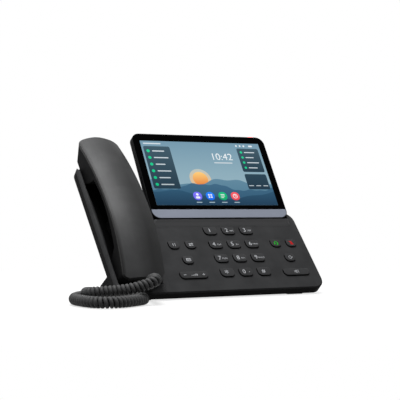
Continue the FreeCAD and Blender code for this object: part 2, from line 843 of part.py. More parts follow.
def make_screen_screws():
    screws = []
    length = rear_plate - screen_screw_head[1] + frame_ledge
    for x, s in screen_screw_places():
        head = post(6, screen_screw_head[0], screen_screw_head[1], (x, s, cover_back))
        shank = post(6, screen_screw_radius, length, (x, s, cover_back + screen_screw_head[1]))
        screws.append(head.fuse(shank).removeSplitter())
    return Part.makeCompound(screws)


def make_cover_glass():
    points = rectangle((-screen_half, screen_half), (chin_height + screen_gap, screen_height))
    return prism(points, [0, 0, screen_corner, screen_corner], (-glass_thickness, 0))


def make_chin_strip():
    points = rectangle((-screen_half, screen_half), (0, chin_height))
    return prism(points, [screen_corner, screen_corner, 0, 0], (ledge_front, 0))


def make_display_panel():
    return box(span(0, display_size[0]), span(display_centre_s, display_size[1]), (ledge_front, -glass_thickness))


def make_screen_board():
    middle = (bulge_start + screen_height) / 2
    floor = bulge_back + wall
    return box(span(0, screen_board_size[0]), span(middle, screen_board_size[1]), (floor, floor + board_thickness))


def make_hinge_brackets():
    """Steel eye and foot of each hinge, standing on the rear housing's deck."""
    brackets = []
    for x in hinge_places():
        reach = span(screen_x + x, knuckle_width)
        foot = box(reach, span(hinge_u, bracket_foot[0]), (-lip, -lip + bracket_foot[1]))
        shape = fuse(knuckle(reach, hinge_u, hinge_w, -lip) + [foot])
        bore = cylinder(pin_radius + pin_gap, knuckle_width + 2, (reach[0] - 1, hinge_u, hinge_w), X_AXIS)
        brackets.append(shape.cut(bore))
    return Part.makeCompound(brackets)


def make_hinge_pins():
    length = knuckle_width + 2 * (ear_width + fit_gap)
    return Part.makeCompound([cylinder(pin_radius, length, (screen_x + x - length / 2, hinge_u, hinge_w), X_AXIS)
                              for x in hinge_places()])


# Handset, drawn in the face frame and lying in the trough

def crest_height(u):
    """Height of the handset's long edges over the face."""
    radius = crest_radius_high if u > crest_u else crest_radius_low
    return crest_w - radius + math.sqrt(radius ** 2 - (u - crest_u) ** 2)


cup_floor = handset_floor + shell
exit_w = crest_height(cord_socket_u) - seam_drop - seam_gap - socket_cover - cord_socket_size[2] / 2


def crest_block(section):
    """Turn a section, drawn across the crest, about the centres of the crest's two arcs."""
    high_centre = Vector(0, crest_u, crest_w - crest_radius_high)
    low_centre = Vector(0, crest_u, crest_w - crest_radius_low)
    reach_high = math.degrees(math.asin((ear_end - crest_u) / crest_radius_high)) + crest_overrun
    reach_low = math.degrees(math.asin((crest_u - mouth_end) / crest_radius_low)) + crest_overrun
    high = section.revolve(high_centre, X_AXIS, -reach_high)
    low = section.revolve(low_centre, X_AXIS, reach_low)
    return high.fuse(low).removeSplitter()


def flat_section(half, low, high):
    """Rectangle across the crest; low and high count from the long edges."""
    points = [Vector(handset_x + x, crest_u, crest_w + w)
              for x, w in rectangle((-half, half), (low, high))]
    return Part.Face(Part.makePolygon(points + [points[0]]))


def crown_section():
    """Section of the handset: upright sides, crisp long edges and a crowned front."""
    half = handset_width / 2
    low = crest_w - handset_floor + crest_radius_low / 4

    def at(x, w):
        return Vector(handset_x + x, crest_u, crest_w + w)

    edges = [Part.LineSegment(at(-half, 0), at(-half, -low)).toShape(),
             Part.LineSegment(at(-half, -low), at(half, -low)).toShape(),
             Part.LineSegment(at(half, -low), at(half, 0)).toShape(),
             Part.Arc(at(half, 0), at(0, crown), at(-half, 0)).toShape()]
    return Part.Face(Part.Wire(edges))


def end_prism(end, other, bow, lean):
    """Outline of one end seen from the front, bowed and with round corners, leaning with its height."""
    half = handset_width / 2
    outward = 1 if end > other else -1
    points = [(handset_x - half, other), (handset_x + half, other), (handset_x + half, end),
              (handset_x, end + outward * bow), (handset_x - half, end)]
    bow_radius = half * half / (4 * bow)
    wire = rounded_wire(points, [0, 0, end_corner, bow_radius, end_corner], handset_floor)
    height = crest_w + 2 * crown - handset_floor
    return Part.Face(wire).extrude(Vector(0, lean * height, height))


def floor_prism():
    """Section along the handset's length that bevels the cups' lower long edges."""
    half = handset_width / 2
    top = crest_w + 2 * crown
    points = [(-half + floor_bevel, handset_floor), (half - floor_bevel, handset_floor),
              (half, handset_floor + floor_bevel), (half, top), (-half, top), (-half, handset_floor + floor_bevel)]
    points = [Vector(handset_x + x, mouth_end - handset_width, w) for x, w in points]
    length = ear_end - mouth_end + 3 * handset_width
    return Part.Face(Part.makePolygon(points + [points[0]])).extrude(Vector(0, length, 0))


def finger_gap():
    """Space under the grip, between the mouthpiece and the earpiece."""
    below = handset_floor - 1
    mid_low = ((arch_low[0] + arch_low[1]) / 2 - 1, (below + arch_low_w) / 2, 0)
    mid_high = ((arch_high[0] + arch_high[1]) / 2 - 3, (below + arch_high_w) / 2, 0)
    return side_prism([(arch_low[0], below), mid_low, (arch_low[1], arch_low_w), arch_mid + (0,),
                       (arch_high[0], arch_high_w), mid_high, (arch_high[1], below)],
                      (handset_x - handset_width, handset_x + handset_width))


def handset_body():
    shape = crest_block(crown_section())
    shape = shape.common(end_prism(ear_end, crest_u - 3 * handset_width, ear_end_bow, ear_end_lean))
    shape = shape.common(end_prism(mouth_end, crest_u + 3 * handset_width, mouth_end_bow, mouth_end_lean))
    return shape.common(floor_prism()).cut(finger_gap())


def weight_block(grow, low, high):
    """Bar bent to follow the grip; low and high count from the handset's long edges."""
    width, length, height = weight_size
    bar = crest_block(flat_section(width / 2 + grow, low, high))
    return bar.common(box(span(handset_x, handset_width), span(crest_u, length + 2 * grow), (cup_floor, crest_w)))


def cord_socket_box(grow):
    width, length, height = cord_socket_size
    return box(span(exit_x, width + 2 * grow), (cord_socket_u, cord_socket_u + length + grow),
               (exit_w - height / 2, exit_w + height / 2 + grow))


def plug_passage():
    """Way through the handset's lower end for the plug and its boot."""
    width, height = plug_size
    return box(span(exit_x, width + 2 * fit_gap), (mouth_end - handset_width, cord_socket_u + 1),
               span(exit_w, height + 2 * fit_gap))


def make_handset_shells():
    body = handset_body()
    seam = crest_block(flat_section(handset_width, -seam_drop, 2 * crown))
    below = crest_block(flat_section(handset_width, -seam_drop - seam_gap, 2 * crown))
    boot_way = placed(boot(boot_radius + fit_gap), face_frame.inverse())
    outer = body.common(seam).cut(boot_way).removeSplitter()
    cutters = [weight_block(fit_gap, -seam_drop - pocket_depth, 0), boot_way, cord_socket_box(socket_gap), plug_passage(),
               post(capsule_sides, ear_radius + fit_gap, ear_height + shell, (handset_x, ear_u, cup_floor)),
               post(capsule_sides, mouth_radius + fit_gap, mouth_height + shell, (mouth_x, mouth_u, cup_floor)),
               post(6, sound_hole, shell + 2, (mouth_x, mouth_u, handset_floor - 1))]
    for k in range(6):
        angle = math.radians(60 * k)
        place = (handset_x + sound_ring * math.cos(angle), ear_u + sound_ring * math.sin(angle))
        cutters.append(post(6, sound_hole, shell + 2, place + (handset_floor - 1,)))
    inner = body.cut(below).cut(cutters).removeSplitter()
    return outer, inner


def make_receiver_capsule():
    return post(capsule_sides, ear_radius, ear_height, (handset_x, ear_u, cup_floor))


def make_handset_microphone():
    return post(capsule_sides, mouth_radius, mouth_height, (mouth_x, mouth_u, cup_floor))


def make_handset_weight():
    """Steel bar on the floor of the pocket in the grip."""
    low = -seam_drop - pocket_depth + slip_gap
    return weight_block(0, low, low + weight_size[2])


def make_cord_socket():
    width, height = plug_size
    mouth = box(span(exit_x, width + 2 * socket_gap), (cord_socket_u - 1, cord_socket_u + plug_inserted),
                span(exit_w, height + 2 * socket_gap))
    return cord_socket_box(0).cut(mouth)


# Cord

boot_start = on_face(exit_x, boot_u, exit_w)
boot_heading = FreeCAD.Rotation(Z_AXIS, -boot_turn).multVec(
    FreeCAD.Rotation(X_AXIS, -boot_rise).multVec(Vector(0, -1, 0)))
cord_start = boot_start + boot_heading * boot_length
plug_back = bay_u[1] + plug_inserted - plug_length
face_up = face_frame.Rotation.multVec(Y_AXIS)
base_plug_w = socket_top - small_socket[1] / 2
cord_end = on_face(handset_socket_x, plug_back, base_plug_w)


def boot(radius):
    """Strain relief that turns the cord from the plug towards the front."""
    start = boot_start - boot_heading * radius
    return post(boot_sides, radius, boot_length + radius, tuple(start), boot_heading)


def make_handset_plug():
    body = box(span(exit_x, plug_size[0]), (boot_u, cord_socket_u + plug_inserted), span(exit_w, plug_size[1]))
    return placed(body, face_frame).fuse(boot(boot_radius)).removeSplitter()


def make_base_plug():
    return box(span(handset_socket_x, plug_size[0]), (plug_back, bay_u[1] + plug_inserted),
               span(base_plug_w, plug_size[1]))


def unit(vector):
    return vector * (1 / vector.Length)


class Route:
    """Straight runs through the points, joined by tangent arcs; places go by length along it."""

    def __init__(self, points):
        self.pieces = []
        self.radii = []
        start = points[0]
        for before, corner, after in zip(points, points[1:], points[2:]):
            into = unit(corner - before)
            out = unit(after - corner)
            half = into.getAngle(out) / 2
            setback = route_bend * min((corner - before).Length, (after - corner).Length)
            radius = setback / math.tan(half)
            self.radii.append(round(radius, 1))
            first = corner - into * setback
            self.pieces.append((start, into, None, (first - start).Length))
            centre = first + unit(out - into * into.dot(out)) * radius
            self.pieces.append((first, into, centre, 2 * half * radius))
            start = corner + out * setback
        last = points[-1] - start
        self.pieces.append((start, unit(last), None, last.Length))
        self.length = sum(piece[3] for piece in self.pieces)

    def at(self, distance):
        """Point and direction at a length along the route."""
        for piece in self.pieces:
            start, along, centre, length = piece
            if distance <= length or piece is self.pieces[-1]:
                break
            distance -= length
        if centre is None:
            return start + along * distance, along
        inward = centre - start
        angle = distance / inward.Length
        point = centre - inward * math.cos(angle) + along * (inward.Length * math.sin(angle))
        return point, along * math.cos(angle) + unit(inward) * math.sin(angle)

    def edges(self, begin):
        """Lines and arcs from a length along the route to its end."""
        made = []
        reached = 0.0
        for start, along, centre, length in self.pieces:
            low = max(begin - reached, 0)
            if low < length - 1e-6:
                ends = [self.at(reached + low + share * (length - low))[0] for share in (0, 0.5, 1)]
                made.append((Part.LineSegment(ends[0], ends[2]) if centre is None else Part.Arc(*ends)).toShape())
            reached += length
        return made


def arc_edge(start, along, end):
    """Arc that leaves a point in the given direction and reaches the other, with its radius."""
    chord = end - start
    angle = along.getAngle(chord)
    if angle < 1e-4:
        return Part.LineSegment(start, end).toShape(), math.inf
    across = unit(along - chord * (along.dot(chord) / chord.dot(chord)))
    middle = (start + end) * 0.5 + across * (chord.Length / 2 * math.tan(angle / 2))
    return Part.Arc(start, middle, end).toShape(), chord.Length / 2 / math.sin(angle)


def biarc(start, along, end, leaving):
    """Two tangent arcs that leave and arrive in the given directions."""
    chord = end - start
    reach = chord.dot(along + leaving)
    spread = 2 * (1 - along.dot(leaving))
    if spread < 1e-6:
        size = chord.dot(chord) / (2 * reach)
    else:
        size = (math.sqrt(reach * reach + spread * chord.dot(chord)) - reach) / spread
    joint = (start + end + (along - leaving) * size) * 0.5
    turned = unit(joint - start - along * size)
    return [arc_edge(start, along, joint), arc_edge(joint, turned, end)]


def curl_curve(route, begin, end, steps):
    """Points along the curls, some in each turn, with a point before and one after."""
    eased = 2 * curl_open * curl_ease
    turns = round(2 * ((end - begin) / curl_pitch - eased)) / 2 + 2 * curl_open
    count = int(turns * steps)
    opening = int(curl_open * steps)
    strides = [curl_ease if i < opening or i >= count - opening else 1.0 for i in range(count)]
    stride = (end - begin) / sum(strides)
    distances = [begin]
    for share in strides:
        distances.append(distances[-1] + share * stride)
    distances = [begin - stride] + distances + [end + stride]
    radius = (curl_diameter - wire_diameter) / 2
    normal = Z_AXIS
    points = []
    for i, distance in enumerate(distances):
        here, heading = route.at(distance)
        normal = unit(normal - heading * normal.dot(heading))
        turn = 2 * math.pi * (i - 1) / steps
        share = min(max(min(i - 1, count + 1 - i) / opening, 0.0), 1.0)
        side = normal * math.cos(turn) + heading.cross(normal) * math.sin(turn)
        points.append(here + side * (radius * share * share * (3 - 2 * share)))
    return points, turns


def least_gap(edges):
    """Least distance between parts of the wire that are over a turn's half apart, less its width."""
    points = []
    along = []
    reached = 0.0
    for edge in edges:
        count = max(3, int(edge.Length / (wire_diameter / 4)))
        for k, point in enumerate(edge.discretize(count)[:-1]):
            points.append((point.x, point.y, point.z))
            along.append(reached + edge.Length * k / (count - 1))
        reached += edge.Length
    apart = math.pi * (curl_diameter - wire_diameter) / 2
    least = math.inf
    for i, point in enumerate(points):
        for j in range(i + 1, len(points)):
            if along[j] - along[i] > apart and abs(points[j][0] - point[0]) < least:
                least = min(least, math.dist(point, points[j]))
    return least - wire_diameter


def make_handset_cord():
    """One unbroken wire: straight end at the handset, curls, and an uncurled tail to the base."""
    first = cord_start + boot_heading * cord_first_run
    last = cord_end - face_up * cord_last_run
    under = Vector(last.x, last.y, cord_rest)
    corners = [Vector(*corner) for corner in cord_corners]
    route = Route([cord_start, first] + corners + [under, last, cord_end])
    steps = 16
    begin = wire_diameter
    end = route.length - tail_length
    points, turns = curl_curve(route, begin, end, steps)
    edges = [Part.LineSegment(cord_start, route.at(begin)[0]).toShape()]
    tightest = math.inf
    knots = list(range(1, len(points) - 1, steps // 2))
    headings = {knot: unit(points[knot + 1] - points[knot - 1]) for knot in knots}
    headings[knots[0]] = route.at(begin)[1]
    headings[knots[-1]] = route.at(end)[1]
    for a, b in zip(knots, knots[1:]):
        for edge, radius in biarc(points[a], headings[a], points[b], headings[b]):
            edges.append(edge)
            tightest = min(tightest, radius)
    edges += route.edges(end)
    print("cord: curls", turns, "length of wire", round(sum(e.Length for e in edges)),
          "route", round(route.length), "bend radii", route.radii)
    print("cord: tightest curl", round(tightest, 2), "least gap to itself", round(least_gap(edges), 2))
    across = unit(boot_heading.cross(Z_AXIS))
    upward = across.cross(boot_heading)
    ring = []
    for k in range(wire_sides + 1):
        angle = 2 * math.pi * k / wire_sides
        ring.append(cord_start + (across * math.cos(angle) + upward * math.sin(angle)) * (wire_diameter / 2))
    return Part.Wire(edges).makePipeShell([Part.makePolygon(ring)], True, False)


def main():
    face_pieces = {
        "front_housing": make_front_housing(),
        "rear_housing": make_rear_housing(),
        "housing_screws": make_housing_screws(),
        "keypad_board": make_keypad_board(),
        "key_mat": make_key_mat(),
        "main_board": make_main_board(),
        "speaker_grille": make_speaker_grille(),
        "loudspeaker": make_loudspeaker(),
        "hook_plunger": make_hook_plunger(),
        "hook_switch": make_hook_switch(),
        "base_microphone": make_base_microphone(),
        "hinge_brackets": make_hinge_brackets(),
        "hinge_pins": make_hinge_pins(),
        "receiver_capsule": make_receiver_capsule(),
        "handset_microphone": make_handset_microphone(),
        "handset_weight": make_handset_weight(),
        "cord_socket": make_cord_socket(),
        "base_plug": make_base_plug(),
    }
    face_pieces.update(make_sockets())
    face_pieces["handset_outer_shell"], face_pieces["handset_inner_shell"] = make_handset_shells()
    for name, size, x, u in key_places():
        shape = make_rocker(size) if name == "key_volume" else make_key(size)
        face_pieces[name] = moved(shape, x, u)
    screen_pieces = {
        "screen_frame": make_screen_frame(),
        "screen_rear_cover": make_screen_rear_cover(),
        "screen_screws": make_screen_screws(),
        "cover_glass": make_cover_glass(),
        "chin_strip": make_chin_strip(),
        "display_panel": make_display_panel(),
        "screen_board": make_screen_board(),
        "status_light": light_box(0),
    }
    nodes = {
        "stand": make_stand(),
        "rubber_feet": make_rubber_feet(),
        "handset_plug": make_handset_plug(),
        "handset_cord": make_handset_cord(),
    }
    nodes.update({name: placed(shape, face_frame) for name, shape in face_pieces.items()})
    nodes.update({name: placed(shape, screen_frame_place) for name, shape in screen_pieces.items()})
    os.makedirs("parts", exist_ok=True)
    for name, shape in nodes.items():
        shape.exportStep("parts/" + name + ".step")
        print(name, "valid" if shape.isValid() else "INVALID", len(shape.Solids), round(shape.Volume, 1))


main()
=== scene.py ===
import math

import bmesh
import bpy
from mathutils import Matrix, Vector


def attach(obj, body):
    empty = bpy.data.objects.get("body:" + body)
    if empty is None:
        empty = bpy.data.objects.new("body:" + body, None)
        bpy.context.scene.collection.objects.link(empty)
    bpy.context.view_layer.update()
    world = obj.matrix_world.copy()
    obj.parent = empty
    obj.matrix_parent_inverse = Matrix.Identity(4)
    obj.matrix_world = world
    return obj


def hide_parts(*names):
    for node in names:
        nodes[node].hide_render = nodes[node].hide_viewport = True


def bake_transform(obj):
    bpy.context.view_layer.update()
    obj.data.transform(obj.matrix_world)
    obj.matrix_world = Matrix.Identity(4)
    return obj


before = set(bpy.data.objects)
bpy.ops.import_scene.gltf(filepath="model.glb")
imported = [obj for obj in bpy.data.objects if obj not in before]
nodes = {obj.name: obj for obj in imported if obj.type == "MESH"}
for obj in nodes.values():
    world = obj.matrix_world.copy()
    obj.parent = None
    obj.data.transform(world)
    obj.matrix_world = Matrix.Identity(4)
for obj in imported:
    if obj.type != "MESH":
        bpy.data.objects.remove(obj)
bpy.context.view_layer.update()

MM = 0.001

# The part's own frames, in millimetres as in its source

face_tilt = math.radians(48.0)
front_y = -72.4
foot_height = 1.0
front_wall = 9.6                    # height of the front housing's wall
front_z = foot_height + front_wall * math.cos(face_tilt)
screen_x = 29.1
screen_tilt = math.radians(9.7)     # from the keypad face to the screen
hinge = (119.2, -4.0)               # up the face, and out of it
screen_hinge = (19.2, -12.3)        # the same line, up the screen and out of it
PART = Matrix.Scale(MM, 4)
FACE = PART @ Matrix.Translation((0, front_y, front_z)) @ Matrix.Rotation(face_tilt, 4, "X")
screen_turn = Matrix.Rotation(screen_tilt, 4, "X")
screen_origin = Vector((screen_x, *hinge)) - screen_turn.to_3x3() @ Vector((0, *screen_hinge))
SCREEN = FACE @ Matrix.Translation(screen_origin) @ screen_turn


# Camera, worked out from the corners of the lit display in the photograph

camera_azimuth = math.radians(-27.617)
camera_elevation = math.radians(-0.312)
camera_place = (-0.5660, -1.0925, 0.0964)
camera_lens = 99.945
sensor_width = 36.0
camera_near = 0.01


def make_camera():
    level = math.cos(camera_elevation)
    back = Vector((math.sin(camera_azimuth) * level, -math.cos(camera_azimuth) * level,
                   math.sin(camera_elevation)))
    right = Vector((math.cos(camera_azimuth), math.sin(camera_azimuth), 0))
    up = back.cross(right)
    data = bpy.data.cameras.new("camera")
    data.sensor_width = sensor_width
    data.lens = camera_lens
    data.clip_start = camera_near
    camera = bpy.data.objects.new("camera", data)
    bpy.context.scene.collection.objects.link(camera)
    place = Matrix((right, up, back)).transposed().to_4x4()
    place.translation = camera_place
    camera.matrix_world = place
    bpy.context.scene.camera = camera


# Materials

plain_ior = 1.15
mottle_noise = (45.0, 4.0)          # scale and detail
mottle_range = (0.35, 0.65)
grain_noise = (2600.0, 1.0)
grain_range = (0.3, 0.7)
grain_gloss = (-0.04, 0.05)         # change of roughness over that range
grain_depth = 0.00006
bevel_samples = 4
no_depth = (50.0, 60.0)             # deeper under the face than these plastics go
no_lean = (-2.0, -3.0)              # further than a surface can turn
unlit = (0.002, 0.002, 0.002, 1.0)
lit_roughness = 0.12


def linear(red, green, blue):
    """Colour as a screen shows it, 0 to 255, turned into the light that makes it."""
    out = []
    for value in (red, green, blue):
        share = value / 255
        out.append(share / 12.92 if share <= 0.04045 else ((share + 0.055) / 1.055) ** 2.4)
    return (*out, 1.0)


def scaled(colour, share):
    return tuple(part * share for part in colour[:3]) + (1.0,)


def new_material(name):
    """New material, with its node tree and its shader."""
    material = bpy.data.materials.new(name)
    material.use_nodes = True
    tree = material.node_tree
    return material, tree, tree.nodes["Principled BSDF"]


def noise(tree, scale, detail):
    where = tree.nodes.new("ShaderNodeTexCoord")
    node = tree.nodes.new("ShaderNodeTexNoise")
    node.inputs["Scale"].default_value = scale
    node.inputs["Detail"].default_value = detail
    tree.links.new(where.outputs["Object"], node.inputs["Vector"])
    return node.outputs["Fac"]


def spread(tree, value, low, high, to_low, to_high):
    """A value's place between low and high, carried over to a second range and held inside it."""
    node = tree.nodes.new("ShaderNodeMapRange")
    node.inputs["From Min"].default_value = low
    node.inputs["From Max"].default_value = high
    node.inputs["To Min"].default_value = to_low
    node.inputs["To Max"].default_value = to_high
    tree.links.new(value, node.inputs["Value"])
    return node.outputs["Result"]


def larger(tree, first, second):
    node = tree.nodes.new("ShaderNodeMath")
    node.operation = "MAXIMUM"
    tree.links.new(first, node.inputs[0])
    tree.links.new(second, node.inputs[1])
    return node.outputs[0]


def reach(tree, vector, direction):
    """How far a vector reaches along a direction."""
    node = tree.nodes.new("ShaderNodeVectorMath")
    node.operation = "DOT_PRODUCT"
    node.inputs[1].default_value = direction
    tree.links.new(vector, node.inputs[0])
    return node.outputs["Value"]


def mixed(tree, factor, first, second, blend="MIX"):
    """Mix of two colours; each input is a plain value or another node's output."""
    node = tree.nodes.new("ShaderNodeMix")
    node.data_type = "RGBA"
    node.blend_type = blend
    for name, value in (("Factor", factor), ("A", first), ("B", second)):
        if isinstance(value, bpy.types.NodeSocket):
            tree.links.new(value, node.inputs[name])
        else:
            node.inputs[name].default_value = value
    return node.outputs["Result"]


def moulded(name, colour, roughness=0.45, grain=0.25, edge=0.4, vary=0.12, ior=plain_ior, metallic=0.0):
    """Moulded plastic: faint mottling, a fine spark grain, and edges that catch the light."""
    material, tree, shader = new_material(name)
    cloud = spread(tree, noise(tree, *mottle_noise), *mottle_range, 0.0, 1.0)
    mottled = mixed(tree, cloud, scaled(colour, 1 - vary), scaled(colour, 1 + vary))
    tree.links.new(mottled, shader.inputs["Base Color"])
    fine = noise(tree, *grain_noise)
    gloss = spread(tree, fine, *grain_range, *(roughness + change for change in grain_gloss))
    tree.links.new(gloss, shader.inputs["Roughness"])
    shader.inputs["IOR"].default_value = ior
    shader.inputs["Metallic"].default_value = metallic
    bump = tree.nodes.new("ShaderNodeBump")
    bump.inputs["Strength"].default_value = grain
    bump.inputs["Distance"].default_value = grain_depth
    tree.links.new(fine, bump.inputs["Height"])
    if edge:
        bevel = tree.nodes.new("ShaderNodeBevel")
        bevel.samples = bevel_samples
        bevel.inputs["Radius"].default_value = edge * MM
        tree.links.new(bevel.outputs["Normal"], bump.inputs["Normal"])
    tree.links.new(bump.outputs["Normal"], shader.inputs["Normal"])
    return material


def painted_light_and_shade_plastic(name, colour, share, depths=no_depth, leans=no_lean, **finish):
    """Plastic with painted shade: it goes over to a share of its colour below the face, and where it turns
    from the face; a share above 1 paints light there instead.
    """
    material = moulded(name, colour, **finish)
    tree = material.node_tree
    base = tree.nodes["Principled BSDF"].inputs["Base Color"]
    where = tree.nodes.new("ShaderNodeTexCoord")
    normal = (FACE.to_3x3() @ Vector((0, 0, 1))).normalized()
    level = normal.dot(FACE.translation)
    heights = (level - depth * MM for depth in depths)
    under = spread(tree, reach(tree, where.outputs["Object"], normal), *heights, 0.0, 1.0)
    turned = spread(tree, reach(tree, where.outputs["Normal"], normal), *leans, 0.0, 1.0)
    # painted shade, or painted light where the share is above 1, over both masks
    painted_colour = mixed(tree, larger(tree, under, turned), base.links[0].from_socket, scaled(colour, share))
    tree.links.new(painted_colour, base)
    return material


def paint_light_and_shade_across(material, leans, shares):
    """Paints light and shade into a plastic's colour: scales it between two leans of its surface to the
    right.
    """
    tree = material.node_tree
    base = tree.nodes["Principled BSDF"].inputs["Base Color"]
    where = tree.nodes.new("ShaderNodeTexCoord")
    share = spread(tree, reach(tree, where.outputs["Normal"], (1, 0, 0)), *leans, *shares)
    tree.links.new(mixed(tree, 1.0, base.links[0].from_socket, share, "MULTIPLY"), base)


def lit(name, colours, strength=1.0):
    """A lit surface: its colours follow one another at even steps from its lower edge to its upper one."""
    material, tree, shader = new_material(name)
    shader.inputs["Base Color"].default_value = unlit
    shader.inputs["Roughness"].default_value = lit_roughness
    shader.inputs["IOR"].default_value = plain_ior
    where = tree.nodes.new("ShaderNodeTexCoord")
    split = tree.nodes.new("ShaderNodeSeparateXYZ")
    ramp = tree.nodes.new("ShaderNodeValToRGB")
    tree.links.new(where.outputs["Generated"], split.inputs[0])
    tree.links.new(split.outputs["Z"], ramp.inputs["Fac"])
    elements = ramp.color_ramp.elements
    while len(elements) < len(colours):
        elements.new(0.5)
    for k, colour in enumerate(colours):
        elements[k].position = k / (len(colours) - 1)
        elements[k].color = linear(*colour)
    tree.links.new(ramp.outputs["Color"], shader.inputs["Emission Color"])
    shader.inputs["Emission Strength"].default_value = strength
    return material


# Pieces

bar_corner_steps = 4
stroke_end_steps = 10


def new_piece(name, bm, materials):
    mesh = bpy.data.meshes.new(name)
    bm.to_mesh(mesh)
    bm.free()
    for material in materials:
        mesh.materials.append(material)
    piece = bpy.data.objects.new(name, mesh)
    bpy.context.scene.collection.objects.link(piece)
    return piece


def add_mesh(name, bm, place, body, slot, *materials):
    """New piece from mesh data in millimetres, riding on a body."""
    bm.transform(place)
    piece = new_piece(name, bm, materials)
    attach(piece, body)
    return piece


def smooth(piece, angle=35.0):
    for polygon in piece.data.polygons:
        polygon.use_smooth = True
    piece.data.set_sharp_from_angle(angle=math.radians(angle))


def eased(share):
    """Share from 0 to 1 that starts and ends gently."""
    share = min(max(share, 0.0), 1.0)
    return share * share * (3 - 2 * share)


def rounded_outline(width, height, radii, steps):
    """Points of a rectangle about the origin; radii go round from the lower left corner."""
    corners = [(-1, -1), (1, -1), (1, 1), (-1, 1)]
    points = []
    for i, (side, end) in enumerate(corners):
        radius = radii[i]
        centre = Vector((side * (width / 2 - radius), end * (height / 2 - radius)))
        start = math.pi * (1 + 0.5 * i)
        for k in range(steps + 1):
            angle = start + math.pi / 2 * k / steps
            points.append(centre + Vector((math.cos(angle), math.sin(angle))) * radius)
    return points


def stacked(rings, cap_low=False):
    """Mesh through rings of equal point counts, closed over the last; each ring is a list of 3-D points."""
    bm = bmesh.new()
    rows = [[bm.verts.new(p) for p in ring] for ring in rings]
    count = len(rows[0])
    for low, high in zip(rows, rows[1:]):
        for k in range(count):
            bm.faces.new((low[k], low[(k + 1) % count], high[(k + 1) % count], high[k]))
    bm.faces.new(rows[-1])
    if cap_low:
        bm.faces.new(list(reversed(rows[0])))
    return bm


def flat(points, height=0.0):
    bm = bmesh.new()
    bm.faces.new([bm.verts.new((p[0], p[1], height)) for p in points])
    return bm


def merged(parts):
    """One mesh from several."""
    whole = bmesh.new()
    for part in parts:
        mesh = bpy.data.meshes.new("part")
        part.to_mesh(mesh)
        part.free()
        whole.from_mesh(mesh)
        bpy.data.meshes.remove(mesh)
    return whole


def arc(x, y, radius, first, last, steps=12):
    angles = [math.radians(first + (last - first) * k / steps) for k in range(steps + 1)]
    return [(x + radius * math.cos(a), y + radius * math.sin(a)) for a in angles]


def disc(x, y, radius, steps=20):
    return arc(x, y, radius, 0, 360 * (steps - 1) / steps, steps - 1)


def bar(x, y, width, height, radius):
    """Flat bar about its middle, with round corners."""
    points = rounded_outline(width, height, (radius,) * 4, bar_corner_steps)
    return flat([(x + p.x, y + p.y) for p in points])


def strokes(lines, width, height=0.0):
    """Flat drawing: each line as wide as given, with round ends and corners."""
    parts = []
    for line in lines:
        for x, y in line:
            parts.append(flat(disc(x, y, width / 2, stroke_end_steps), height))
        for a, b in zip(line, line[1:]):
            a, b = Vector(a), Vector(b)
            ahead = (b - a).normalized() * (width / 2)
            side = Vector((-ahead.y, ahead.x))
            parts.append(flat([a - side, b - side, b + side, a + side], height))
    return merged(parts)


def mesh_of(curve):
    holder = bpy.data.objects.new(curve.name, curve)
    bpy.context.scene.collection.objects.link(holder)
    bpy.context.view_layer.update()
    mesh = bpy.data.meshes.new_from_object(holder)
    bpy.data.objects.remove(holder)
    return mesh


def written(text, size, x, y, height=0.0):
    """Dial figures and letters, or the clock, in the plain built-in face."""
    curve = bpy.data.curves.new("figures", "FONT")
    curve.body = text
    curve.size = size
    curve.align_x = "CENTER"
    curve.align_y = "CENTER"
    bm = bmesh.new()
    mesh = mesh_of(curve)
    bm.from_mesh(mesh)
    bpy.data.meshes.remove(mesh)
    bm.transform(Matrix.Translation((x, y, height)))
    return bm


# Curly cord; the route's points are the source's, but for a first run that bows a little higher

cord_route = [
    (-89.21, -72.27, 20.34), (-95.0, -92.0, 25.0), (-101.0, -115.5, 24.0), (-123.0, -113.0, 17.0),
    (-138.0, -104.5, 14.5), (-160.0, -90.0, 12.5), (-160.0, -72.6, 11.2), (-152.4, -65.0, 10.2),
    (-140.4, -65.0, 9.2), (-111.3, -99.5, 6.0), (-112.8, -111.8, 6.0), (-146.0, -133.0, 6.0),
    (-166.0, -130.0, 6.0), (-174.5, -110.0, 6.0), (-175.0, -66.0, 6.0), (-104.0, -10.0, 6.0),
    (-60.0, -30.62, 6.0), (-60.0, -30.62, 30.36), (-60.0, -21.25, 40.76)]
route_steps = 40
route_order = 3
wire = 4.15
coil = 11.6
curl_pitch = 4.2
bend_overlap = 0.8          # curls may press into each other inside a bend
tightest_share = 0.4        # least share of the pitch that is counted inside a bend
plain_tail = 104.0
tail_step = 2.0
curl_open = (10.0, 18.0)    # length over which the curls open at the handset, and close at the tail
open_stretch = 1.6          # extra pitch while they do
curl_steps = 20
wire_steps = 10


def read_spline(points):
    """Points along the smooth line that has the route's points as its controls, in millimetres."""
    curve = bpy.data.curves.new("route", "CURVE")
    curve.dimensions = "3D"
    curve.resolution_u = route_steps
    spline = curve.splines.new("NURBS")
    spline.points.add(len(points) - 1)
    for control, point in zip(spline.points, points):
        control.co = (*point, 1.0)
    spline.order_u = route_order
    spline.use_endpoint_u = True
    mesh = mesh_of(curve)
    line = [v.co.copy() for v in mesh.vertices]
    bpy.data.meshes.remove(mesh)
    return line


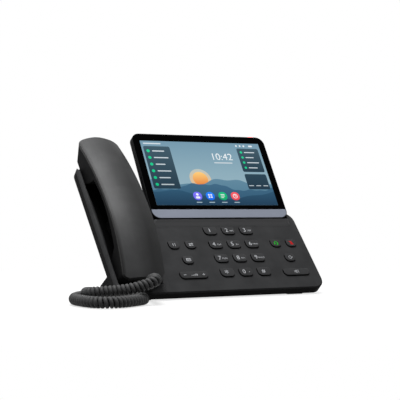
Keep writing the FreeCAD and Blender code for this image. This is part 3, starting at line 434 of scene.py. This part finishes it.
class Line:
    """A line through close points, read by length along it."""

    def __init__(self, points):
        self.points = points
        self.reach = [0.0]
        for a, b in zip(points, points[1:]):
            self.reach.append(self.reach[-1] + (b - a).length)
        self.length = self.reach[-1]
        self.last = 0

    def at(self, distance):
        distance = min(max(distance, 0.0), self.length)
        if self.reach[self.last] > distance:
            self.last = 0
        while self.last < len(self.points) - 2 and self.reach[self.last + 1] < distance:
            self.last += 1
        a, b = self.points[self.last], self.points[self.last + 1]
        span = self.reach[self.last + 1] - self.reach[self.last]
        return a.lerp(b, (distance - self.reach[self.last]) / max(span, 1e-9))

    def heading(self, distance, step=1.0):
        return (self.at(distance + step) - self.at(distance - step)).normalized()

    def bend(self, distance, step=4.0):
        """How sharply it bends, one over the radius."""
        return self.heading(distance - step).angle(self.heading(distance + step), 0.0) / (2 * step)


def curl_line(route):
    """Points of the wire with their places along the route: curls, then a plain tail."""
    end = route.length - plain_tail
    arm = (coil - wire) / 2
    normal = Vector((0, 0, 1))
    line = []
    distance = 0.0
    while distance < end:
        open_share = eased(distance / curl_open[0]) * eased((end - distance) / curl_open[1])
        heading = route.heading(distance)
        normal = (normal - heading * normal.dot(heading)).normalized()
        turn = 2 * math.pi * len(line) / curl_steps
        side = normal * math.cos(turn) + heading.cross(normal) * math.sin(turn)
        line.append((route.at(distance) + side * arm * open_share, distance))
        inner_share = max(1 - arm * route.bend(distance), tightest_share)
        pitch = max(curl_pitch, (wire - bend_overlap) / inner_share)
        distance += pitch * (1 + open_stretch * (1 - open_share)) / curl_steps
    distance = end + tail_step
    while distance < route.length - tail_step / 2:
        line.append((route.at(distance), distance))
        distance += tail_step
    line.append((route.at(route.length), route.length))
    return line


def make_cord(material):
    """Curly cord in place of the source's; its curls open out near the handset."""
    line = curl_line(Line(read_spline(cord_route)))
    points = [point for point, place in line]
    angles = [2 * math.pi * k / wire_steps for k in range(wire_steps)]
    rings = []
    normal = Vector((0, 0, 1))
    last = len(points) - 1
    for i, point in enumerate(points):
        heading = (points[min(i + 1, last)] - points[max(i - 1, 0)]).normalized()
        normal = (normal - heading * normal.dot(heading)).normalized()
        across = heading.cross(normal)
        rings.append([point + (normal * math.cos(a) + across * math.sin(a)) * (wire / 2) for a in angles])
    bm = stacked(rings, cap_low=True)
    bm.transform(PART)
    cord = new_piece("curly_cord", bm, [material])
    smooth(cord, angle=60.0)
    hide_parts("handset_cord")
    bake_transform(cord)


# Light and floor

white = (1.0, 1.0, 1.0, 1.0)
ambient = 0.1
floor_radius = 6.0
floor_sides = 96
floor_colour = (0.95, 0.95, 0.95, 1.0)
floor_roughness = 0.9
floor_bounce = (0.08, 0.08, 0.08, 1.0)
fade_range = (0.2, 0.5)     # metres from the middle between which the shadow gives way to white
shadow_fade = 0.7           # share of white nearer than that


def seen_ray(tree):
    """1 for rays that show the background: from the camera, off metal and gloss, or through glass."""
    path = tree.nodes.new("ShaderNodeLightPath")
    seen = path.outputs["Is Camera Ray"]
    for ray in ("Is Glossy Ray", "Is Transmission Ray"):
        seen = larger(tree, seen, path.outputs[ray])
    return seen


def make_world():
    world = bpy.data.worlds.new("world")
    bpy.context.scene.world = world
    world.use_nodes = True
    tree = world.node_tree
    ground = tree.nodes["Background"]
    tree.links.new(spread(tree, seen_ray(tree), 0.0, 1.0, ambient, 1.0), ground.inputs["Strength"])
    ground.inputs["Color"].default_value = white


def mixed_shader(tree, factor, first, second):
    node = tree.nodes.new("ShaderNodeMixShader")
    tree.links.new(factor, node.inputs[0])
    tree.links.new(first, node.inputs[1])
    tree.links.new(second, node.inputs[2])
    return node.outputs[0]


def floor_material():
    material, tree, shader = new_material("floor")
    shader.inputs["Base Color"].default_value = floor_colour
    shader.inputs["Roughness"].default_value = floor_roughness
    shader.inputs["Specular IOR Level"].default_value = 0.0
    where = tree.nodes.new("ShaderNodeTexCoord")
    far = tree.nodes.new("ShaderNodeVectorMath")
    far.operation = "LENGTH"
    tree.links.new(where.outputs["Object"], far.inputs[0])
    glow = tree.nodes.new("ShaderNodeEmission")
    dim = tree.nodes.new("ShaderNodeBsdfDiffuse")
    dim.inputs["Color"].default_value = floor_bounce
    fade = spread(tree, far.outputs["Value"], *fade_range, shadow_fade, 1.0)
    pale = mixed_shader(tree, fade, shader.outputs[0], glow.outputs[0])
    surface = mixed_shader(tree, seen_ray(tree), dim.outputs[0], pale)
    tree.links.new(surface, tree.nodes["Material Output"].inputs["Surface"])
    return material


def make_floor():
    """Pale floor: it takes the shadow near the phone and fades into the white further out."""
    bm = bmesh.new()
    bmesh.ops.create_circle(bm, cap_ends=True, segments=floor_sides, radius=floor_radius)
    floor = new_piece("floor", bm, [floor_material()])


def make_lamp(name, place, target, size, power, glints=True):
    data = bpy.data.lights.new(name, "AREA")
    data.shape = "ELLIPSE"
    data.size, data.size_y = size
    data.energy = power
    lamp = bpy.data.objects.new(name, data)
    bpy.context.scene.collection.objects.link(lamp)
    lamp.visible_glossy = glints
    lamp.location = place
    lamp.rotation_euler = (Vector(target) - Vector(place)).to_track_quat("-Z", "Y").to_euler()


# Keys, drawn on the face with their middles at the origin

key_height = 1.6
key_edge = 0.7
edge_steps = 4
key_radii = (4.6, 4.6, 2.2, 2.2)
corner_steps = 8
key_flange = (1.3, 3.5, 2.5)        # out from the key, and its lower and upper sides below the face
rocker_flange = (12.0, 3.8, 2.82)   # its width, and its sides below the face, where the key pivots
rocker_corner = 0.5
rocker_corner_steps = 2
top_lean = 0.35                     # faces that look up further than this are the key's top
dial_middle = (31.5, 52.9)
dial_pitch = (22.7, 19.5)
dial_key = (15.8, 10.8)
small_key = (12.2, 10.2)
wide_key = (32.5, 9.0)
left_keys, right_keys = -31.9, 94.9
key_step = 10.1                     # half the pitch of the two keys in a row
key_rows = (62.9, 42.0, 21.7)

ink = key_height + 0.02
line_width = 0.62
figure_size, star_size, letter_size = 7.4, 11.0, 2.7
figure_x, lone_figure_x = -2.6, -1.2    # beside its letters, or alone
star_y = -1.6
letters_place = (3.6, -0.6)
dial_names = ("1", "2", "3", "4", "5", "6", "7", "8", "9", "star", "0", "hash")
dial_signs = {"star": "*", "hash": "#"}
dial_letters = {"2": "ABC", "3": "DEF", "4": "GHI", "5": "JKL", "6": "MNO",
                "7": "PQRS", "8": "TUV", "9": "WXYZ", "0": "+"}
key_symbols = {
    "hold": [[(-1.25, -1.6), (-1.25, 1.6)], [(1.25, -1.6), (1.25, 1.6)]],
    "transfer": [[(-2.3, 1.0), (2.2, 1.0)], [(1.2, 1.9), (2.3, 1.0), (1.2, 0.1)],
                 [(2.3, -1.0), (-2.2, -1.0)], [(-1.2, -0.1), (-2.3, -1.0), (-1.2, -1.9)]],
    "message": [[(-2.4, -1.6), (2.4, -1.6), (2.4, 1.6), (-2.4, 1.6), (-2.4, -1.6)],
                [(-2.4, 1.6), (0, -0.3), (2.4, 1.6)]],
    "headset": [arc(0, -0.1, 2.1, 0, 180),
                [(-2.1, -0.2), (-2.1, -1.7), (-1.4, -1.7), (-1.4, -0.4)],
                [(2.1, -0.2), (2.1, -1.7), (1.4, -1.7), (1.4, -0.4)],
                [(2.1, -1.7), (1.3, -2.5), (0.4, -2.5)]],
    "mute": [arc(0, 1.3, 0.7, 0, 180) + arc(0, 0.1, 0.7, 180, 360) + [(0.7, 1.3)],
             arc(0, 0.2, 1.6, 195, 345), [(0, -1.4), (0, -2.2)], [(-1.0, -2.2), (1.0, -2.2)],
             [(-2.1, 2.1), (2.1, -2.1)]],
    "redial": [arc(0, 0, 1.9, 50, 345), [(2.9, 0.4), (1.85, -0.6), (0.9, 0.5)]],
    "speaker": [[(-2.4, -0.7), (-1.4, -0.7), (-0.1, -1.8), (-0.1, 1.8), (-1.4, 0.7), (-2.4, 0.7),
                 (-2.4, -0.7)],
                arc(0.2, 0, 1.2, -45, 45, 6), arc(0.2, 0, 2.3, -48, 48, 8)],
    "volume": [[(-12.2, 0), (-9.8, 0)], [(9.8, 0), (12.2, 0)], [(11.0, -1.2), (11.0, 1.2)]]
              + [[(-3.2 + 1.6 * k, -1.2), (-3.2 + 1.6 * k, -0.8 + 0.5 * k)] for k in range(5)],
}


def key_mesh(size, rocks):
    """Key top with a rounded edge, its stem and the flange that holds it under the face."""
    out, low, high = key_flange
    profile = [(0.0, -low)] if rocks else [(out, -low), (out, -high), (0.0, -high)]
    profile.append((0.0, key_height - key_edge))
    for k in range(1, edge_steps + 1):
        angle = math.pi / (2 * edge_steps) * k
        profile.append((key_edge * (math.cos(angle) - 1), key_height + key_edge * (math.sin(angle) - 1)))
    rings = []
    for grow, height in profile:
        radii = [radius + grow for radius in key_radii]
        outline = rounded_outline(size[0] + 2 * grow, size[1] + 2 * grow, radii, corner_steps)
        rings.append([Vector((p.x, p.y, height)) for p in outline])
    bm = stacked(rings, cap_low=True)
    if rocks:
        width, low, high = rocker_flange
        outline = rounded_outline(width, size[1] + 2 * out, (rocker_corner,) * 4, rocker_corner_steps)
        flange = stacked([[Vector((p.x, p.y, -z)) for p in outline] for z in (low, high)], cap_low=True)
        bm = merged([bm, flange])
    # The key's sides take the second material: painted shade, darker than its top.
    for face in bm.faces:
        face.normal_update()
        face.material_index = 0 if face.normal.z > top_lean else 1
    return bm


def key_legend(name):
    """A drawn symbol, or a figure or sign with its letters."""
    if name in key_symbols:
        return strokes(key_symbols[name], line_width, ink)
    letters = dial_letters.get(name)
    x = figure_x if letters else lone_figure_x
    size, y = (star_size, star_y) if name == "star" else (figure_size, 0.0)
    parts = [written(dial_signs.get(name, name), size, x, y, ink)]
    if letters:
        parts.append(written(letters, letter_size, *letters_place, ink))
    return merged(parts)


def key_places():
    """Size and middle of each key."""
    places = {}
    for i, name in enumerate(dial_names):
        x = dial_middle[0] + (i % 3 - 1) * dial_pitch[0]
        y = dial_middle[1] + (1.5 - i // 3) * dial_pitch[1]
        places[name] = (dial_key, x, y)
    places["hold"] = (small_key, left_keys - key_step, key_rows[0])
    places["transfer"] = (small_key, left_keys + key_step, key_rows[0])
    places["message"] = (small_key, left_keys, key_rows[1])
    places["volume"] = (wide_key, left_keys, key_rows[2])
    places["headset"] = (small_key, right_keys - key_step, key_rows[0])
    places["mute"] = (small_key, right_keys + key_step, key_rows[0])
    places["redial"] = (small_key, right_keys, key_rows[1])
    places["speaker"] = (wide_key, right_keys, key_rows[2])
    return places


def make_keys(top_material, side_shade_material, legend_materials):
    for name, (size, x, y) in key_places().items():
        node = "key_" + name
        place = FACE @ Matrix.Translation((x, y, 0))
        shape = key_mesh(size, rocks=name == "volume")
        top = add_mesh(node + "_top", shape, place, node, "key_plastic", top_material, side_shade_material)
        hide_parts(node)
        smooth(top)
        legend_material = legend_materials.get(name, legend_materials["rest"])
        add_mesh(node + "_legend", key_legend(name), place, node, "key_plastic", legend_material)


# Moulded forms of the face that the solids leave open

trough_x = (-122.0, -64.4)
trough_floor_left = -115.0
trough_depth = 7.2
trough_bend = (0.35, 0.7)           # points on its curved left side, as shares of its depth
trough_end = (3.6, 12.6)            # from the trough's front wall to just short of the handset
end_edge = ((0.0, 0.0), (0.86, 0.0), (0.94, 0.2), (0.98, 0.6), (1.0, 1.3))  # share of its length, and drop
trough_strip = (-70.9, 60.0)        # right of the handset: its left side, and how far up it goes
strip_edge = ((0.0, 1.4), (0.2, 0.7), (0.6, 0.2), (1.2, 0.0))   # in from its left side, and drop

slope_along = (4.0, 173.5)
slope_widens = (54.0, 147.0)        # where it starts to widen, and is narrow again
slope_ease = 30.0
slope_narrow = (3.6, 1.7)           # how far the slope reaches from the rim, and how far it drops
slope_wide = (9.0, 7.1)
slope_steps = 60
slope_overlap = 0.4                 # under the rim
slope_sink = 0.03                   # below the face at the rim
slope_points = 10
slope_curve = 1.9

recess_x = (-58.1, 116.3)
lip_reach = 24.2                    # clear of the screen's lower edge, which turns about the hinge
lip_start, lip_rise = 89.3, 4.4
lip_taper = 3.0
lip_steps = 60
lip_base = 1.0                      # underside, below the face
lip_sink = 0.02                     # front edge, below the face
lip_points = 8
lip_curve = 1.25
lip_edge = 0.5                      # width of its rounded upper edge
lip_round = ((0.1, 0.25), (0.0, 0.7))   # points of that edge: in from its back, and down
lip_lowest = -0.5


def make_trough_end(material):
    """Front end of the trough and a strip right of the handset, filled flush with the face."""
    left, right = trough_x
    front, back = trough_end
    strip_left, strip_high = trough_strip
    flush_x = strip_left + strip_edge[-1][0]
    rings = []
    for share, drop in end_edge:
        y = front + (back - front) * share
        section = [(left, -drop)]
        for part in trough_bend:
            x = left + (trough_floor_left - left) * part * part
            section.append((x, min(-trough_depth * part, -drop)))
        section += [(trough_floor_left, -trough_depth), (flush_x, -trough_depth), (flush_x, -drop)]
        rings.append([Vector((x, y, z)) for x, z in section])
    end = stacked(rings, cap_low=True)
    rings = []
    for x, top in [(strip_left + inset, -drop) for inset, drop in strip_edge] + [(right, 0.0)]:
        rings.append([Vector((x, front, -trough_depth)), Vector((x, strip_high, -trough_depth)),
                      Vector((x, strip_high, top)), Vector((x, front, top))])
    strip = stacked(rings, cap_low=True)
    piece = add_mesh("trough_end", merged([end, strip]), FACE, "base", "dark_plastic", material)
    smooth(piece)


def make_trough_slope(material):
    """Rounded left slope of the trough, wide under the handset's grip and narrow beside its ends."""
    rings = []
    left = trough_x[0] - slope_overlap
    for k in range(slope_steps + 1):
        y = slope_along[0] + (slope_along[1] - slope_along[0]) * k / slope_steps
        opened = eased((y - slope_widens[0]) / slope_ease) * eased((slope_widens[1] - y) / slope_ease)
        width, drop = (a + (b - a) * opened for a, b in zip(slope_narrow, slope_wide))
        ring = [Vector((left, y, -trough_depth)), Vector((left, y, -slope_sink))]
        for i in range(1, slope_points + 1):
            share = i / slope_points
            ring.append(Vector((left + width * share, y, -slope_sink - drop * share ** slope_curve)))
        ring.append(Vector((left + width, y, -trough_depth)))
        rings.append(ring)
    piece = add_mesh("trough_slope", stacked(rings, cap_low=True), FACE, "base", "dark_plastic", material)
    smooth(piece, angle=40.0)


def make_recess_lip(material):
    """Cove that carries the face up to the screen's chin."""
    rings = []
    low_back = hinge[0] - lip_reach
    for k in range(lip_steps + 1):
        x = recess_x[0] + (recess_x[1] - recess_x[0]) * k / lip_steps
        rise = lip_rise * eased(min(x - recess_x[0], recess_x[1] - x) / lip_taper)
        back = hinge[0] - math.sqrt(lip_reach ** 2 - (rise - hinge[1]) ** 2)
        section = [(low_back, -lip_base), (lip_start, -lip_base), (lip_start, -lip_sink)]
        for i in range(1, lip_points + 1):
            share = i / lip_points
            section.append((lip_start + (back - lip_edge - lip_start) * share, rise * share ** lip_curve))
        section += [(back - inset, max(rise - drop, lip_lowest)) for inset, drop in lip_round]
        rings.append([Vector((x, y, z)) for y, z in section])
    piece = add_mesh("recess_lip", stacked(rings, cap_low=True), FACE, "base", "dark_plastic", material)
    smooth(piece, angle=50.0)


# Vents on the back, and the holes that a voice passes through on the handset's inner side

back_depth = 24.0                   # the rear housing's back, below the face
cover_depth = 14.1                  # the screen cover's back, behind its glass
low_vents = (-88.0, 98.0, 2.2, 19.0)    # middle, width and height of the first in the row
side_vents = (91.0, 112.0, 27.0, 2.2)
cover_vents = (17.0, 82.0, 2.0, 13.0)
low_vent_count, side_vent_count, cover_vent_count = 21, 7, 9
vent_pitch, cover_vent_pitch = 6.2, 5.0
vent_corner_steps = 5
vent_profile = ((0.6, 0.0), (0.3, 0.35), (0.0, 0.35), (-0.15, 0.04))    # out from the slot, and height

inner_depth = 6.93                  # just off the handset's inner side, where it lies in the trough
voice_x = 95.0                      # the inner side looks down, so x counts to the left there
ear_y, mouth_y = 172.0, 34.0
ear_hole = 0.9
ear_rings = ((0.0, 1), (4.0, 6), (8.0, 12))     # radius of each ring, and its count of holes
mouth_slot = (1.6, 7.0, 0.8)        # width, height and corner radius
mouth_pitch = 4.0

facing_back = Matrix.Rotation(math.pi, 4, "Y")


def vent(x, y, width, height):
    """Slot with a raised, sloping rim; its bottom is a flat dark face, painted shade in place of the slot's
    depth.
    """
    radius = min(width, height) / 2
    rings = []
    for grow, level in vent_profile:
        radii = (radius + grow,) * 4
        outline = rounded_outline(width + 2 * grow, height + 2 * grow, radii, vent_corner_steps)
        rings.append([Vector((x + p.x, y + p.y, level)) for p in outline])
    bm = stacked(rings)
    bm.faces.ensure_lookup_table()
    # painted shade on the slot's bottom
    bm.faces[-1].material_index = 1
    return bm


def make_vents(rim, dark):
    x, y, width, height = low_vents
    slots = [vent(x + vent_pitch * k, y, width, height) for k in range(low_vent_count)]
    x, y, width, height = side_vents
    slots += [vent(x, y + vent_pitch * k, width, height) for k in range(side_vent_count)]
    place = FACE @ Matrix.Translation((0, 0, -back_depth)) @ facing_back
    smooth(add_mesh("rear_vents", merged(slots), place, "base", "dark_plastic", rim, dark))
    x, y, width, height = cover_vents
    places = [x + cover_vent_pitch * k for k in range(cover_vent_count)]
    slots = [vent(side * place, y, width, height) for side in (-1, 1) for place in places]
    place = SCREEN @ Matrix.Translation((0, 0, -cover_depth)) @ facing_back
    smooth(add_mesh("screen_vents", merged(slots), place, "screen", "dark_plastic", rim, dark))


def make_handset_holes(dark):
    """Rings of small holes at the ear and a row of slots at the mouth, as flat dark shapes: painted shade
    in place of the holes.
    """
    holes = []
    for ring, count in ear_rings:
        for k in range(count):
            angle = 2 * math.pi * k / count
            x, y = voice_x + ring * math.cos(angle), ear_y + ring * math.sin(angle)
            holes.append(flat(disc(x, y, ear_hole)))
    holes += [bar(voice_x + mouth_pitch * k, mouth_y, *mouth_slot) for k in range(-2, 3)]
    place = FACE @ Matrix.Translation((0, 0, -inner_depth)) @ facing_back
    add_mesh("handset_holes", merged(holes), place, "handset", "socket_plastic", dark)


# Lit picture on the display: sky, sun and hills, with panels, a clock and a row of icons

picture_size = (154.2, 85.9)
picture_corner = 0.2
picture_low = 16.25     # its lower edge, up the screen
layer = 0.02            # each sheet of the picture stands this far in front of the one behind
hill_level, panel_level, sign_level, icon_sign_level = 4, 7, 8, 9

sky_colours = ((156, 184, 196), (140, 172, 186), (116, 152, 172))
sun_place = (-14, 35)
sun_radius, glow_radius = 9.5, 13.5
sun_steps = 40
sun_colours = ((226, 120, 52), (255, 206, 122))
glow_colours = ((236, 190, 130), (186, 196, 190))
hill_steps = 60
hill_lowest = 1.0
# For each row of hills: its height, its waves as size, length and turn, and its colours
hills = {
    "far_hills": (31, [(4.0, 15, 0.4), (1.6, 5.3, 1.0)], ((70, 116, 142), (96, 136, 158))),
    "hills": (24, [(4.6, 19, 2.2), (1.4, 6.1, 0.0), (0.6, 2.3, 0.5)], ((40, 84, 112), (62, 104, 132))),
    "near_hills": (14, [(5.2, 24, 4.0), (1.2, 7.0, 2.0)], ((24, 58, 84), (42, 84, 112))),
}

panel_corner = 2
# For each panel: its middle, width and height, and its colours
panels = {
    "left_panel": ((-58.5, 50, 33, 57), ((30, 56, 72), (62, 88, 102))),
    "right_panel": ((59.5, 62, 29, 33), ((30, 56, 72), (62, 88, 102))),
    "low_panel": ((59.5, 32, 29, 21), ((26, 52, 70), (38, 66, 82))),
}
# For each list: x of its dots and bars, its first row and the step down, sizes, and the bars' lengths
lists = (
    (-70, -65, 72, 9.0, 2.0, (1.5, 0.7), (15, 18, 12, 17, 14, 16)),
    (50, 54, 73, 7.2, 1.6, (1.3, 0.6), (14, 11, 16, 12)),
)
dot_colours = ((0, 190, 130), (30, 214, 150))
bar_colours = ((188, 200, 206), (214, 224, 230))
heading_bar = (-63, 82.2, 22, 1.6, 0.8)
date_bar = (22, 57.5, 24, 1.5, 0.7)
low_bars = [(50 + 9.5 * k, 26.5, 6.5, 1.1, 0.5) for k in range(3)]
corner_dots = [(46 + 5 * k, 82, 1.2) for k in range(3)]
corner_bar = (65, 82, 5, 2.2, 0.6)
corner_colours = ((226, 234, 240), (240, 244, 248))
clock = ("10:42", 13.0, 22, 65.5)
clock_colours = ((226, 234, 238), (244, 248, 250))

icon_y, icon_size, icon_corner = 12, 11, 5
icons = {
    "purple": (-24, ((104, 96, 236), (126, 118, 252))),
    "blue": (-8, ((8, 104, 232), (30, 132, 255))),
    "green": (8, ((0, 164, 106), (10, 192, 128))),
    "red": (24, ((232, 66, 80), (252, 92, 102))),
}
icon_sign_colours = ((236, 240, 246), (250, 252, 255))
label_y, label_size, label_corner = 3.6, (7, 1.1), 0.5
label_colours = ((150, 176, 190), (176, 196, 206))


def sheet(name, parts, level, colours):
    """One sheet of the picture; x counts from its middle and y from its lower edge."""
    bm = merged(parts)
    place = SCREEN @ Matrix.Translation((0, picture_low, layer * level))
    return add_mesh("picture_" + name, bm, place, "screen", "display", lit("picture_" + name, colours))


def hill(base, waves):
    """Ridge line across the picture, as heights added up from waves, filled down to its lower edge."""
    width = picture_size[0]
    ridge = []
    for k in range(hill_steps + 1):
        x = width * (k / hill_steps - 0.5)
        y = base + sum(size * math.sin(x / length + turn) for size, length, turn in waves)
        ridge.append((x, max(y, hill_lowest)))
    return flat([(-width / 2, 0), (width / 2, 0)] + ridge[::-1])


def make_landscape():
    width, height = picture_size
    sheet("sky", [bar(0, height / 2, width, height, picture_corner)], 1, sky_colours)
    sheet("glow", [flat(disc(*sun_place, glow_radius, sun_steps))], 2, glow_colours)
    sheet("sun", [flat(disc(*sun_place, sun_radius, sun_steps))], 3, sun_colours)
    for k, (name, (base, waves, colours)) in enumerate(hills.items()):
        sheet(name, [hill(base, waves)], hill_level + k, colours)


def make_panels():
    for name, (place, colours) in panels.items():
        sheet(name, [bar(*place, panel_corner)], panel_level, colours)
    dots = []
    bars = []
    for dot_x, bar_x, top, step, radius, (thickness, corner), lengths in lists:
        for k, length in enumerate(lengths):
            y = top - step * k
            dots.append(flat(disc(dot_x, y, radius)))
            bars.append(bar(bar_x + length / 2, y, length, thickness, corner))
    sheet("dots", dots, sign_level, dot_colours)
    bars += [bar(*place) for place in (heading_bar, date_bar, *low_bars)]
    sheet("bars", bars, sign_level, bar_colours)
    signs = [flat(disc(*place)) for place in corner_dots] + [bar(*corner_bar)]
    sheet("signs", signs, sign_level, corner_colours)
    sheet("clock", [written(*clock)], sign_level, clock_colours)


def make_icons():
    for name, (x, colours) in icons.items():
        shape = bar(x, icon_y, icon_size, icon_size, icon_corner)
        sheet(name + "_icon", [shape], sign_level, colours)
    person_x, tiles_x, list_x, clock_x = (x for x, colours in icons.values())
    y = icon_y
    signs = [flat(disc(person_x, y + 2, 1.6)), bar(person_x, y - 2, 5.6, 2.8, 1.3)]
    signs += [bar(tiles_x + dx, y + dy, 2, 2, 0.5) for dx in (-1.5, 1.5) for dy in (-1.5, 1.5)]
    left = list_x - 2.2
    rows = ((y + 2, 4.4), (y, 4.4), (y - 2, 2.8))
    signs.append(strokes([[(left, row), (left + length, row)] for row, length in rows], 0.8))
    hands = [(clock_x, y + 2), (clock_x, y), (clock_x + 1.4, y)]
    signs.append(strokes([arc(clock_x, y, 2.6, 0, 360, 20), hands], 0.7))
    sheet("icon_signs", signs, icon_sign_level, icon_sign_colours)
    labels = [bar(x, label_y, *label_size, label_corner) for x, colours in icons.values()]
    sheet("labels", labels, icon_sign_level, label_colours)


# Scene

bpy.context.scene.view_settings.view_transform = "Standard"
make_camera()
make_world()
make_floor()
make_lamp("key_lamp", (-0.2, -0.1, 1.2), target=(-0.2, 0, 0.08), size=(0.5, 1.1), power=18.4)
make_lamp("back_lamp", (0.25, 1.25, 0.42), target=(0, 0.03, 0.08), size=(0.9, 0.9), power=30.0,
          glints=False)

plastic = moulded("dark_plastic", (0.040, 0.0405, 0.042))
# Painted shade: the face plastic darkens down into the trough and the recess, and on its sides that turn
# from the face.
housing_plastic = painted_light_and_shade_plastic("housing_plastic", (0.045, 0.0455, 0.047), share=0.1,
                               depths=(0.8, 6.0), leans=(0.5, 0.2), ior=1.07)
# Painted light and shade: a lighter copy of the face plastic at the trough's rim, darkening down the slope.
slope_plastic = painted_light_and_shade_plastic("slope_plastic", (0.062, 0.0625, 0.064), share=0.05,
                             depths=(0.3, 4.0), ior=1.07)
# Painted light: a lighter copy of the face plastic, lighter still where the cove rises to the chin, against
# the shade under it.
lip_plastic = painted_light_and_shade_plastic("lip_plastic", (0.052, 0.0525, 0.054), share=2.4, leans=(0.96, 0.82))
# Painted shade on the handset's sides, where they turn from the face.
handset_plastic = painted_light_and_shade_plastic("handset_plastic", (0.043, 0.0435, 0.0445), share=0.22,
                               leans=(0.66, 0.4), roughness=0.44, ior=1.23)
# Painted highlight on the handset's left, painted shade on its right flank and along its left edge.
paint_light_and_shade_across(handset_plastic, leans=(-0.12, 0.18), shares=(1.32, 0.47))
paint_light_and_shade_across(handset_plastic, leans=(-0.32, -0.365), shares=(1.0, 0.25))
inner_plastic = moulded("inner_plastic", (0.012, 0.0122, 0.0126), roughness=0.6, ior=1.09)
rear_plastic = moulded("rear_plastic", (0.024, 0.0243, 0.0252), roughness=0.55, ior=1.1)
stand_plastic = moulded("stand_plastic", (0.016, 0.0162, 0.0168), roughness=0.6, ior=1.08)
frame_plastic = moulded("frame_plastic", (0.010, 0.0102, 0.0108), roughness=0.5, ior=1.1)
key_plastic = moulded("key_plastic", (0.042, 0.0425, 0.044), roughness=0.5, edge=0)
# Painted shade for the keys' sides.
key_side_painted_shade = moulded("key_side_painted_shade", (0.006, 0.006, 0.0064), roughness=0.6, edge=0, ior=1.05)
black_glass = moulded("black_glass", (0.0010, 0.0010, 0.0011), roughness=0.1, grain=0.01, edge=0.2,
                      ior=1.04)
chin_paint = moulded("chin_paint", (0.28, 0.308, 0.378), roughness=0.4, grain=0.08, edge=0.3, vary=0.03,
                     ior=1.2)
rubber = moulded("rubber", (0.02, 0.02, 0.021), roughness=0.75)
socket_plastic = moulded("socket_plastic", (0.008, 0.008, 0.0085), roughness=0.35, ior=1.2)
board_green = moulded("board_green", (0.01, 0.06, 0.02), roughness=0.4, ior=1.3)
steel = moulded("steel", (0.45, 0.45, 0.46), roughness=0.35, metallic=1.0)
cord_rubber = moulded("cord_rubber", (0.063, 0.0635, 0.0645), roughness=0.5, edge=0, ior=1.25)
status_red = lit("status_red", ((190, 6, 8), (255, 20, 22)), strength=8.0)
legend_shades = {"rest": ("legend_grey", (196, 198, 202)), "headset": ("legend_green", (16, 222, 28)),
                 "mute": ("legend_red", (250, 36, 40))}
legends = {}
for key, (name, shade) in legend_shades.items():
    legends[key] = moulded(name, linear(*shade), roughness=0.6, grain=0, edge=0, vary=0.03)

finishes = {
    "front_housing": housing_plastic, "rear_housing": rear_plastic, "stand": stand_plastic,
    "handset_outer_shell": handset_plastic, "handset_inner_shell": inner_plastic,
    "screen_frame": frame_plastic, "screen_rear_cover": rear_plastic, "cover_glass": black_glass,
    "chin_strip": chin_paint, "status_light": status_red, "hook_plunger": key_plastic,
    "key_mat": rubber, "rubber_feet": rubber, "handset_plug": cord_rubber,
}
for name in ("keypad_board", "main_board", "screen_board"):
    finishes[name] = board_green
for name in ("housing_screws", "screen_screws", "hinge_brackets", "hinge_pins", "handset_weight"):
    finishes[name] = steel
for name in ("handset_jack", "headset_jack", "network_jacks", "usb_socket", "power_socket", "hook_switch",
             "cord_socket", "base_plug", "loudspeaker", "speaker_grille", "receiver_capsule",
             "handset_microphone", "base_microphone", "display_panel"):
    finishes[name] = socket_plastic
for name, node in nodes.items():
    node.data.materials.clear()
    node.data.materials.append(finishes.get(name, plastic))

make_cord(cord_rubber)
make_trough_end(plastic)
make_trough_slope(slope_plastic)
make_recess_lip(lip_plastic)
make_vents(rear_plastic, socket_plastic)
make_handset_holes(socket_plastic)
make_keys(key_plastic, key_side_painted_shade, legends)
make_landscape()
make_panels()
make_icons()
